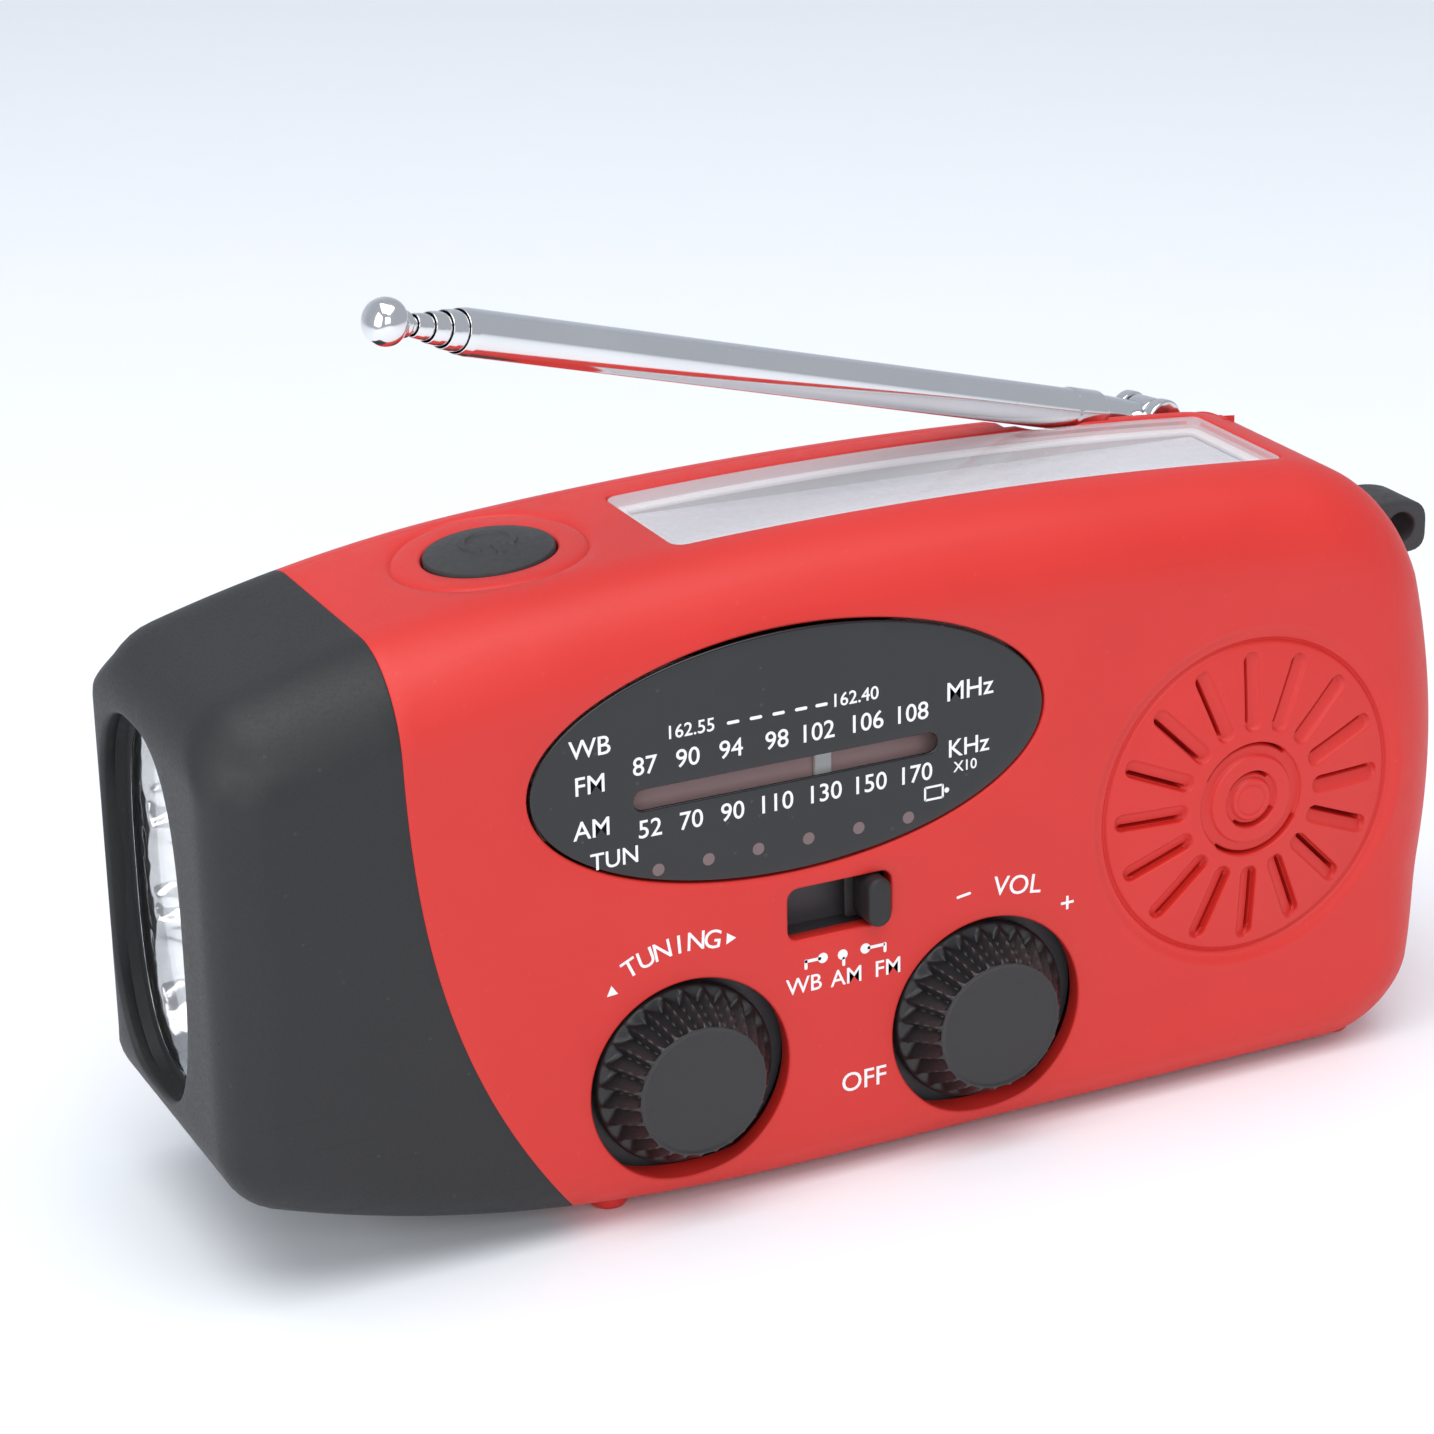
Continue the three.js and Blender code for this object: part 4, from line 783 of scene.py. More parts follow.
def grille_net(r):
    """Angles of the net at each radius: the same places across every louvre, spread evenly between them."""
    half = math.pi / LOUVRES
    across = np.array([-1.1, -1.0, -0.925, -0.84, -0.74, -0.5, -0.2, 0.1, 0.22, 0.27, 0.31, 0.35, 0.5,
                       0.65, 0.69, 0.73, 0.78, 0.84, 0.88, 0.925, 1.0, 1.1])
    angle = np.arcsin(across[None] / np.maximum(r, 6.2))
    left = angle[:, :1] + (-half - angle[:, :1]) * np.array([1, 0.66, 0.33])
    right = angle[:, -1:] + (half - angle[:, -1:]) * np.array([0.33, 0.66])
    local = np.concatenate([left, angle, right], 1)
    sector = np.arange(LOUVRES) * 2 * half
    theta = local[:, None, :] + sector[None, :, None]
    return theta.reshape(len(r), -1), np.tile(local, (1, LOUVRES))


def grille_rim():
    """The loop of the face where the grille starts, a circle at the angles of its net."""
    theta = grille_net(np.array([[GRILLE_EDGE]]))[0][0]
    return np.stack([SPEAKER[0] + GRILLE_EDGE * np.cos(theta), SPEAKER[1] + GRILLE_EDGE * np.sin(theta)], 1)


def grille():
    """A disc turned about its middle: rows of radius, and columns that follow the sixteen louvres.

    Height is the sum of a dome, a ring groove, louvre wells that deepen to one side, and slits."""
    radii = np.concatenate([
        [0.05], np.arange(0.3, 6.2, 0.1), np.arange(6.2, 8.2, 0.12), np.arange(8.3, 13.1, 0.5),
        np.arange(13.2, 14.7, 0.12), np.arange(14.75, 16.0, 0.07), np.arange(16.05, GRILLE_EDGE, 0.16),
        [GRILLE_EDGE]])[:, None]
    theta, local = grille_net(radii)
    r = np.broadcast_to(radii, theta.shape)
    across, along = r * np.sin(local), r * np.cos(local)
    dish = -0.34 * (1 - smooth((r - 15.9) / 1.1))
    dome = 0.95 * np.clip(1 - (r / 15.1) ** 2, 0, 1)
    groove = -0.34 * np.exp(-((r - 15.42) / 0.2) ** 2)
    well_out = np.hypot(across, along - np.clip(along, 6.8 + WELL, 14.4 - WELL)) - WELL
    well_depth = 0.16 + 0.62 * np.clip((across + WELL) / (2 * WELL), 0, 1)
    wells = -well_depth * smooth(-well_out / 0.16)
    slit_out = np.hypot(across - 0.5, along - np.clip(along, 7.7, 13.5)) - SLIT
    slits = -2.0 * smooth((0.02 - slit_out) / 0.09)
    arc = smooth((np.abs(np.sin(theta - math.radians(10))) - 0.6) / 0.06)
    hub = 0
    for radius, width, cut in ((4.9, 0.7, 5.45), (2.4, 0.45, 2.65)):
        band_out = np.abs(r - radius) - width
        hub = hub - 0.4 * smooth(-band_out / 0.18) - 2.0 * arc * smooth((0.17 - np.abs(r - cut)) / 0.09)
    button = -0.12 * np.exp(-((r - 1.45) / 0.12) ** 2)
    height = dish + dome + groove + wells + slits + hub + button
    x, z = SPEAKER[0] + r * np.cos(theta), SPEAKER[1] + r * np.sin(theta)
    base = face_point(x[-1], z[-1], 0)[:, 1]
    y = FRONT - height * (r < GRILLE_EDGE) + (base - FRONT)[None] * smooth((r - 16.3) / 0.9)
    rows = np.stack([x, y, z], -1)
    back = rows[-1].copy()
    back[:, 1] = FRONT + 3.2
    skin = Skin()
    skin.cap(rows[0])
    skin.grid(rows[::-1])
    skin.grid(np.stack([back, rows[-1]]))
    skin.cap(back, flip=True)
    return skin


# ---- plates and turned parts ----
def shrunk(loop, size, hole):
    """The loop moved into the material by a size, along its own normals."""
    following = np.roll(loop, -1, 0)
    area = (loop[:, 0] * following[:, 1] - following[:, 0] * loop[:, 1]).sum()
    if (area < 0) != hole:
        loop = loop[::-1]
    step = np.roll(loop, -1, 0) - np.roll(loop, 1, 0)
    step /= np.linalg.norm(step, axis=1, keepdims=True)
    return loop + size * np.stack([-step[:, 1], step[:, 0]], 1)


def plate(loops, low, high, lip, place, spacing=1.5):
    """A flat plate between low and high with round edges; place turns (u, v, w) into x, y, z."""
    loops = [shrunk(loop, lip, k > 0) for k, loop in enumerate(loops)]
    at, faces, _ = fill_chart(loops, spacing)
    outer, inner = place(at[:, 0], at[:, 1], high), place(at[:, 0], at[:, 1], low)
    skin = Skin()
    turned = np.cross(outer[faces[0, 1]] - outer[faces[0, 0]], outer[faces[0, 2]] - outer[faces[0, 0]])
    if turned @ (outer[faces[0, 0]] - inner[faces[0, 0]]) < 0:
        faces = faces[:, ::-1]
    skin.walled([(outer, inner, faces)], lip, inner_lip=lip)
    return skin


def facing_front(u, v, w):
    """Plate in X and Z whose outer face looks to the front; w is y."""
    return np.stack([u, np.full_like(u, w), v], 1)


def facing_end(u, v, w):
    """Plate in Y and Z whose faces look along X."""
    return np.stack([np.full_like(u, w), u, v], 1)


def turned(profile, origin, axis, sides=64, across=None, shape=None):
    """A profile of (distance along, radius) turned about an axis; it ends on the axis or closes on itself.

    shape, if given, changes the distance and the radius by the angle."""
    axis = np.array(axis, float) / np.linalg.norm(axis)
    if across is None:
        across = np.cross(axis, [0, 0, 1] if abs(axis[2]) < 0.9 else [1, 0, 0])
    side = np.array(across, float)
    side /= np.linalg.norm(side)
    up = np.cross(axis, side)
    t = TURN * np.arange(sides) / sides
    profile = np.array(profile, float)
    along, radius = profile[:, 0, None] + 0 * t, profile[:, 1, None] + 0 * t
    if shape:
        along, radius = shape(along, radius, t[None])
    rows = (np.array(origin) + along[..., None] * axis
            + radius[..., None] * (np.cos(t)[:, None] * side + np.sin(t)[:, None] * up))
    skin = Skin()
    skin.grid(rows)
    return skin


def rounded(profile, round_by, steps=4):
    """A profile with its inner corners rounded off by short quadratic arcs."""
    profile = np.array(profile, float)
    out = [profile[0]]
    for before, at, after in zip(profile[:-2], profile[1:-1], profile[2:]):
        a, b = np.linalg.norm(before - at), np.linalg.norm(after - at)
        start = at + (before - at) / a * min(round_by, a * 0.45)
        stop = at + (after - at) / b * min(round_by, b * 0.45)
        t = np.linspace(0, 1, steps + 1)[:, None]
        out += list((1 - t) ** 2 * start + 2 * t * (1 - t) * at + t ** 2 * stop)
    out.append(profile[-1])
    return np.array(out)


# ---- controls ----
RIBS = 26


def resampled(profile, step):
    """The same profile with points a step apart."""
    profile = np.array(profile, float)
    length = np.concatenate([[0], np.cumsum(np.linalg.norm(np.diff(profile, axis=0), axis=1))])
    even = np.unique(np.concatenate([length, np.arange(0, length[-1], step)]))
    return np.stack([np.interp(even, length, profile[:, k]) for k in range(2)], 1)


def knob(centre):
    """A truncated cone turned about the shaft; its ribs are a slanted saw-tooth of the angle."""
    profile = rounded([(0, 0.0), (0, 8.5), (0.3, 8.7), (1.1, 8.7), (1.35, 8.45), (4.8, 6.6), (5.2, 6.1),
                       (5.05, 5.75), (5.05, 0.0)], 0.14)

    def ribs(along, radius, angle):
        """Saw-tooth of the angle, faded in and out along the cone."""
        part = (angle * RIBS / TURN + along * 0.08) % 1
        tooth = np.where(part < 0.72, part / 0.72, (1 - part) / 0.28)
        amount = smooth((along - 1.25) / 0.4) * smooth((5.18 - along) / 0.45) * smooth((radius - 6.0) / 0.3)
        return along, radius - 1.05 * amount * (1 - tooth)

    return turned(resampled(profile, 0.22), (centre[0], KNOB_BACK, centre[1]), (0, -1, 0), RIBS * 14,
        shape=ribs)


def dial():
    """Gloss oval of the scale, a flat plate with the slot cut through."""
    outline = oval(*DIAL, DIAL_A, DIAL_B, 260)
    return plate([outline, slot_shape(0)], -19.6, -20.0, 0.16, facing_front)


def slot_shape(grow):
    """Outline of the slot for the pointer, grown by a distance."""
    return round_box(-11.9, 41.15, 29.8 + 2 * grow, 1.9 + 2 * grow, 0.93 + grow, 0.15)


def torch_button():
    """A low dome on the sloping top, with a ring and a bar that stand up by a smooth step."""
    slope = (top_z(BUTTON[0] + 1) - top_z(BUTTON[0] - 1)) / 2
    rings = np.linspace(5.3, 0.0, 48)
    dome = np.stack([0.9 * (1 - (rings / 5.9) ** 2.6), rings], 1)
    profile = np.concatenate([[(-1.4, 0.0), (-1.4, 5.9), (-0.1, 5.9), (0.1, 5.8)], dome])

    def mark(along, radius, angle):
        """Raised ring with a gap, and a bar in the gap."""
        ring = smooth((0.42 - np.abs(radius - 2.3)) / 0.12) * smooth((np.abs(angle - math.pi) - 0.6) / 0.08)
        u, v = radius * np.cos(angle), radius * np.sin(angle)
        bar = smooth((0.36 - np.abs(v)) / 0.1) * smooth((1.1 - np.abs(u + 2.3)) / 0.12)
        return along + 0.2 * np.maximum(ring, bar) * (along > 0.2), radius

    return turned(profile, (BUTTON[0], BUTTON[1], top_z(BUTTON[0])), (-slope, 0, 1), 144,
        across=(0, 1, 0), shape=mark)


def slider():
    """Tab of the band switch: a round-edged block on a flat base."""
    skin = plate([round_box(-3.45, 27.2, 2.3, 4.7, 1.1, 0.12)], -17.9, -21.3, 0.4, facing_front, 0.7)
    base = plate([round_box(-3.65, 27.2, 3.5, 4.6, 0.4, 0.2)], -17.62, -17.95, 0.1, facing_front, 0.9)
    return joined(skin, base)


def joined(*skins):
    """Several closed skins as one."""
    out = Skin()
    for skin in skins:
        for block in skin.faces:
            out.faces.append(block + out.count)
        out.points += skin.points
        out.count += skin.count
    return out


def on_crown(u, v, w):
    """Plate that follows the crown; w is the height above it."""
    return np.stack([u, v, top_z(u) + w], 1)


SOLAR_COVER = 1.2  # thickness of the window over the cells


def solar_window():
    """Clear cover over the cells, a plate that follows the crown."""
    return plate([solar_rim(0)], -SOLAR_COVER, -0.05, 0.3, on_crown)


def solar_frame():
    """Light rim under the cover: the outline less a smaller one."""
    inner = solar_rim(-1.5)[::-1]
    return plate([solar_rim(-0.1), inner], -1.6, -SOLAR_COVER - 0.05, 0.1, on_crown)


def lens():
    """Clear window in the mouth, a flat plate."""
    return plate([torch_oval(-0.3, 150)], -61.1, -62.3, 0.2, facing_end)


def bezel():
    """Sleeve from the mouth to the lens, a superoval tube with a small step where the lens sits."""
    def loop(grow, x):
        """The mouth grown by a distance, at one x."""
        y, z = torch_oval(grow, 150).T
        return np.stack([np.full_like(y, x), y, z], 1)

    rows = [loop(0.0, -63.6), loop(-0.05, -63.0), loop(-0.1, -62.6), loop(-0.6, -62.45), loop(-0.7, -62.4),
            loop(-0.72, -62.35), loop(1.1, -62.35), loop(1.1, -63.6), loop(0.0, -63.6)]
    skin = Skin()
    skin.grid(np.stack(rows), flip=True)
    return skin


def reflector():
    """Three bowls along the mouth: depth is the deepest of three paraboloids, with a fine crinkle."""
    share = np.linspace(1, 0, 46)[:, None, None]
    edge = superoval(0, 0, TORCH["half_y"] - 0.35, TORCH["half_z"] - 0.35, TORCH["power"], 180)
    place = share * edge[None]
    y, z = place[..., 0], place[..., 1]
    depth = 0 * y
    for k in (-9.0, 0.0, 9.0):
        depth = np.maximum(depth, 5.6 * (1 - (y ** 2 + (z - k) ** 2) / 62.0))
    crinkle = 0.22 * np.sin(1.9 * z + 1.3 * np.sin(0.9 * y)) * np.sin(1.7 * y + 0.8 * np.sin(1.3 * z))
    depth = np.minimum(depth + crinkle * smooth((1 - share[..., 0]) / 0.2), 6.4)
    front = np.stack([-60.8 + np.maximum(depth, 0), y + TORCH["y"], z + TORCH["z"]], -1)
    back = front.copy()
    back[..., 0] += 0.8
    skin = Skin()
    skin.grid(front, flip=True)
    skin.grid(back)
    skin.grid(np.stack([front[0], back[0]]))
    return skin


# ---- antenna, crank and back ----
def along_antenna(profile, sides=64):
    """A profile turned about the axis of the antenna."""
    return turned(profile, ANTENNA, TUBE_WAY, sides)


TUBE_END = [89.6, 91.2, 92.8, 94.4]  # where each tube stops, along the antenna
TUBE_WALL = 0.2
TUBE_PIN = np.cross(TUBE_WAY, (0, 0, 1))
TUBE_PIN /= np.linalg.norm(TUBE_PIN)


def peg(low, length, radius, round_by):
    """Profile of a plain cylinder with rounded rims."""
    return rounded([(low, 0), (low, radius), (low + length, radius), (low + length, 0)], round_by)


def first_tube():
    """Outer tube, turned, with a ferrule at its foot and an eye round the hinge pin."""
    end = TUBE_END[0]
    bore = TUBE_RADII[0] - TUBE_WALL
    profile = rounded([(2.0, 0), (2.0, 1.7), (7.8, 1.9), (8.0, 2.2), (11.8, 2.2), (12.1, 2.05),
        (end - 0.9, 2.05), (end, 1.93), (end, bore), (14.6, bore), (14.6, 0)], 0.12)
    eye = rounded([(-1.3, 0), (-1.3, 2.3), (1.3, 2.3), (1.3, 0)], 0.25)
    return joined(along_antenna(profile), turned(eye, ANTENNA, TUBE_PIN, 48))


def inner_tube(k):
    """Tube k inside the first, turned, hollow at its open end."""
    start, end, radius = 14.0 + 2 * k, TUBE_END[k], TUBE_RADII[k]
    return along_antenna(rounded([(start, 0), (start, radius), (end - 0.8, radius), (end, radius - 0.1),
        (end, radius - TUBE_WALL), (start + 1.4, radius - TUBE_WALL), (start + 1.4, 0)], 0.1))


def antenna_knob():
    """Rod and rounded end of the antenna, turned."""
    end = TUBE_END[3]
    return along_antenna(rounded([(22, 0), (22, 0.8), (end + 0.6, 0.8), (end + 0.6, 1.15),
        (end + 1.5, 1.25), (end + 2.0, 1.95), (end + 3.1, 2.1), (end + 4.2, 1.6), (end + 4.7, 0.0)], 0.5,
        6))


def hull(x0, r0, x1, r1, z, count=60):
    """Outline round two circles at the same height."""
    lean = math.asin((r0 - r1) / (x0 - x1))
    t = np.linspace(-math.pi / 2 + lean, math.pi / 2 - lean, count)
    right = np.stack([x0 + r0 * np.cos(t), z + r0 * np.sin(t)], 1)
    t = np.linspace(math.pi / 2 - lean, 3 * math.pi / 2 + lean, count)
    left = np.stack([x1 + r1 * np.cos(t), z + r1 * np.sin(t)], 1)
    return np.concatenate([right, left])


def crank_arm():
    """Lever round two circles with a slot for the grip, a hub through the case, and two ears."""
    outline = hull(CRANK[0], 8.5, -13.0, 6.0, CRANK[1])
    slot = round_box(-0.2, CRANK[1], 26.0, 7.8, 3.6, 0.3)[::-1]
    arm = plate([outline, slot], 15.4, 19.4, 0.7, facing_front)
    hinge = (GRIP_HINGE[0], GRIP_HINGE[1], CRANK[1])
    ears = [turned(peg(low, 2.1, 2.2, 0.3), hinge, (0, 0, 1), 40) for low in (-6.0, 3.9)]
    hub = turned(rounded([(3.0, 0), (3.0, 2.7), (15.5, 2.7), (15.5, 0)], 0.2), (CRANK[0], 0, CRANK[1]),
        (0, 1, 0), 48)
    return joined(arm, hub, *ears)


def screw(centre, low, high, radius, shank, cross=0.26):
    """A low domed head with a cross recess, on a plain shank along +Y."""
    top = np.linspace(radius - 0.2, 0, 22)
    dome = np.stack([high - 0.35 * (top / radius) ** 2, top], 1)
    neck = [(shank, 0.0), (shank, 1.2), (low, 1.2)] if shank < low else [(low, 0.0)]
    profile = np.concatenate([neck, [(low, radius - 0.15), (low + 0.2, radius), (high - 0.5, radius)],
        dome])

    def recess(along, radius_at, angle):
        """Cross sunk into the head: the smaller of the two distances to its arms."""
        u, v = radius_at * np.cos(angle), radius_at * np.sin(angle)
        arm = np.minimum(np.abs(u), np.abs(v))
        cut = smooth((cross - arm) / 0.1) * smooth((radius * 0.62 - radius_at) / 0.15)
        return along - 0.8 * cut * (along > high - 0.45), radius_at

    return turned(profile, (centre[0], 0, centre[1]), (0, 1, 0), 96, shape=recess)


def grip_sleeve():
    """A hollow sleeve; its outside is a row of shallow rounded grooves, a cosine of the length."""
    x = np.linspace(-6.8, 10.4, 140)
    fade = smooth((x + 6.8) / 1.5) * smooth((10.4 - x) / 1.5)
    outside = 3.38 - 0.22 * fade * (0.5 + 0.5 * np.cos(TURN * (x + 6.8) / 1.72)) ** 3
    profile = np.concatenate([[(-7.0, GRIP_BORE), (-7.0, 3.2)], np.stack([x, outside], 1),
                              [(10.6, 3.2), (10.6, GRIP_BORE), (-7.0, GRIP_BORE)]])
    return turned(profile, (0, GRIP_HINGE[1], CRANK[1]), (1, 0, 0), 96)


def flap():
    """Port cover: a plate, a thin web down to the hinge barrel, and a pull along its top edge."""
    cover = plate([round_box(PORT[0], 13.95, 24.4, 7.7, 1.0, 0.3)], 13.75, 14.9, 0.3, facing_front)
    web = plate([round_box(PORT[0], 9.45, 22.0, 1.7, 0.3, 0.3)], 13.65, 14.2, 0.08, facing_front)
    barrel = turned(rounded([(27.0, 0), (27.0, 0.55), (51.4, 0.55), (51.4, 0)], 0.15), (0, *PORT_HINGE),
        (1, 0, 0), 32)
    pull = plate([round_box(PORT[0], 17.0, 5.0, 0.9, 0.4, 0.2)], 14.7, 14.97, 0.1, facing_front)
    return joined(cover, web, barrel, pull)


def port_floor():
    """Plate behind the port with the two sockets cut through."""
    holes = [round_box(34.95, 13.35, 13.5, 6.0, 0.5, 0.3)[::-1],
        round_box(47.15, 13.0, 7.8, 3.1, 0.8, 0.3)[::-1]]
    return plate([round_box(*PORT_WINDOW, 26.6, 12.6, 1.2, 0.4), *holes], 12.1, 12.9, 0.15,
        facing_front)


def lug():
    """Strap loop: a plate with a round hole, from a rounded outline."""
    outline = rounded([(54.5, 44.2), (64.9, 44.8), (64.9, 49.3), (62, 50.3), (54.5, 50.3)], 1.6, 5)
    return plate([outline, circle(61.9, 47.3, 1.6, 48)[::-1]], -6.0, 0.0, 0.25, facing_front)


def well():
    """Walls of the antenna's pocket: a floor that follows the notch, and a front wall."""
    bend = np.array([(48.35, 60.2), (48.35, 52.85), (35.5, 52.85), (24.2, 59.6)])
    below = np.array([(24.2, 58.2), (35.2, 51.6), (49.6, 51.6), (49.6, 59.8)])
    floor = plate([np.concatenate([bend, below])], 5.0, 14.5, 0.05, facing_front)
    xs = np.linspace(24.4, 48.3, 30)
    wall = np.concatenate([np.stack([xs, top_z(xs) - 0.5], 1), [(48.3, 52.7), (35.5, 52.7)]])
    front = plate([wall[::-1]], 4.2, 5.4, 0.05, facing_front)
    for block in front.points:
        block[:, 2] -= tube_bed(block)
    for block in floor.points + front.points:
        into_roll = np.clip(block[:, 1] - BACK + ROLL["top"], 0, ROLL["top"])
        roof = top_z(block[:, 0]) - ROLL["top"] + np.sqrt(ROLL["top"] ** 2 - into_roll ** 2) - 0.5
        block[:, 2] = np.minimum(block[:, 2], roof)
    return joined(floor, front)


def feet(spots):
    """Four nubs, each a short turned cylinder with a rounded rim."""
    nub = rounded([(-0.9, 0), (-0.9, 1.8), (0.45, 1.8), (0.8, 1.3), (0.8, 0)], 0.3)
    return joined(*[turned(nub, (x, y, 0.8), (0, 0, -1), 40) for x, y in spots])


def pocket_antenna_foot():
    """The swivel foot: a round plate and two ears beside the tube's eye."""
    disc = turned(rounded([(53.1, 0), (53.1, 4.2), (54.7, 4.2), (54.7, 0)], 0.3), (42.4, 10.0, 0),
        (0, 0, 1), 56)
    ears = [turned(peg(low, 1.2, 2.45, 0.25), ANTENNA, TUBE_PIN, 48) for low in (-2.7, 1.5)]
    return joined(disc, *ears)


# ---- print ----
def words(skin, items, y):
    """Raised lettering; items are (text, x, z, height, turn in degrees)."""
    for text, x, z, height, lean in items:
        curve = bpy.data.curves.new("print", "FONT")
        curve.body, curve.size = text, height * 1.4
        curve.align_x, curve.align_y = "CENTER", "CENTER"
        curve.offset = 0.012
        curve.extrude, curve.resolution_u = PRINT_LIFT, 4
        holder = bpy.data.objects.new("print", curve)
        mesh = bpy.data.meshes.new_from_object(holder)
        mesh.calc_loop_triangles()
        points = np.array([v.co for v in mesh.vertices])
        faces = np.array([t.vertices for t in mesh.loop_triangles])
        c, s = math.cos(math.radians(lean)), math.sin(math.radians(lean))
        u, v = points[:, 0] * c - points[:, 1] * s, points[:, 0] * s + points[:, 1] * c
        skin.add(np.stack([x + u, y - points[:, 2], z + v], 1), faces)
        bpy.data.objects.remove(holder)
        bpy.data.curves.remove(curve)
        bpy.data.meshes.remove(mesh)


def raised(skin, x, y, z):
    """A flat outline in x and z, thickened by the print's lift on both sides of y."""
    front, back = (np.stack([x, np.full_like(x, y + d), z], 1) for d in (-PRINT_LIFT, PRINT_LIFT))
    skin.grid(np.stack([back, front]))
    skin.cap(front)
    skin.cap(back, flip=True)


def bars(skin, items, y):
    """Raised marks; items are (x, z, width, height, turn in degrees) with round ends."""
    for x, z, width, height, lean in items:
        loop = round_box(0, 0, width, height, min(width, height) * 0.49, 0.2)
        c, s = math.cos(math.radians(lean)), math.sin(math.radians(lean))
        u, v = loop[:, 0] * c - loop[:, 1] * s + x, loop[:, 0] * s + loop[:, 1] * c + z
        raised(skin, u, y, v)


FACE_WORDS = [("VOL", 11.3, 25.4, 1.9, -8), ("+", 16.6, 22.45, 2.0, 0),
              ("OFF", -4.6, 9.4, 1.9, 0), ("WB", -10.6, 20.2, 1.6, 0), ("AM", -6.3, 20.1, 1.6, 0),
              ("FM", -2.1, 20.1, 1.6, 0)]
FACE_BARS = [(5.7, 25.6, 1.5, 0.26, 8), (-8.7, 22.5, 1.0, 1.0, 0), (-6.7, 22.4, 1.0, 1.0, 0),
    (-4.4, 22.5, 1.0, 1.0, 0), (-9.7, 22.5, 1.7, 0.3, 0), (-10.4, 22.2, 0.3, 1.0, 0),
    (-6.6, 21.7, 0.3, 0.9, 0), (-3.3, 22.5, 1.8, 0.3, 0), (-2.4, 22.2, 0.3, 1.0, 0)]
ARC_WORD, ARC_RADIUS = "TUNING", 13.4
ARROWS = [(-29.4, 23.7, 215), (-17.9, 26.4, -5)]
ARROW_RADIUS = 0.62
DIAL_WORDS = [("WB", -30.8, 46.9, 1.75, 0), ("FM", -30.9, 43.5, 1.75, 0), ("AM", -30.8, 39.4, 1.75, 0),
              ("TUN", -28.75, 36.25, 1.6, 0), ("MHz", 6.2, 45.55, 1.8, 0), ("KHz", 6.1, 40.1, 1.7, 0),
              ("X10", 5.8, 38.3, 1.0, 0), ("162.55", -21.3, 46.9, 1.25, 0), ("162.40", -5.3, 46.9, 1.25, 0)]
FM_MARKS = [("87", -25.7), ("90", -21.6), ("94", -17.45), ("98", -13.0), ("102", -9.06), ("106", -4.2),
    ("108", 0.3)]
AM_MARKS = [("52", -25.35), ("70", -21.4), ("90", -17.4), ("110", -13.2), ("130", -8.4), ("150", -3.9),
    ("170", 0.7)]
DIAL_WORDS += [(text, x, 44.3, 1.7, 0) for text, x in FM_MARKS]
DIAL_WORDS += [(text, x, 38.4, 1.7, 0) for text, x in AM_MARKS]
DOTS = [(x, 34.4, 1.15, 1.15, 0) for x in (-24.65, -19.8, -14.95, -10.0, -5.0, 0.0)]
DIAL_BARS = [(x, 46.8, 1.2, 0.3, 0) for x in (-17.2, -15.0, -12.8, -10.6, -8.6)]
DIAL_BARS += [(2.6, 36.9, 1.8, 0.2, 0), (2.6, 35.7, 1.8, 0.2, 0), (1.7, 36.3, 0.2, 1.3, 0),
    (3.5, 36.3, 0.2, 1.3, 0), (3.9, 36.3, 0.5, 0.5, 0)]


def face_print():
    """Words, signs and arrows on the case; one word follows an arc round the tuning knob."""
    skin = Skin()
    words(skin, FACE_WORDS, FRONT)
    for k, letter in enumerate(ARC_WORD):
        angle = math.radians(115 - 35 * k / (len(ARC_WORD) - 1))
        x, z = TUNING[0] + ARC_RADIUS * math.cos(angle), TUNING[1] + ARC_RADIUS * math.sin(angle)
        words(skin, [(letter, x, z, 1.8, math.degrees(angle) - 90)], FRONT)
    bars(skin, FACE_BARS, FRONT)
    for x, z, lean in ARROWS:
        t = math.radians(lean) + TURN * np.arange(3) / 3
        raised(skin, x + ARROW_RADIUS * np.cos(t), FRONT, z + ARROW_RADIUS * np.sin(t))
    return skin


def dial_print():
    """Words and marks of the scale."""
    skin = Skin()
    words(skin, DIAL_WORDS, FRONT)
    bars(skin, DIAL_BARS, FRONT)
    return skin


def dial_dots():
    """Row of round spots below the scale."""
    skin = Skin()
    bars(skin, DOTS, FRONT)
    return skin


# ---- materials ----
def add(tree, kind, links=None, **settings):
    """A node with settings, and with values or sockets for its inputs."""
    node = tree.nodes.new(kind)
    for key, value in settings.items():
        setattr(node, key, value)
    for key, value in (links or {}).items():
        if isinstance(value, bpy.types.NodeSocket):
            tree.links.new(value, node.inputs[key])
        else:
            node.inputs[key].default_value = value
    return node


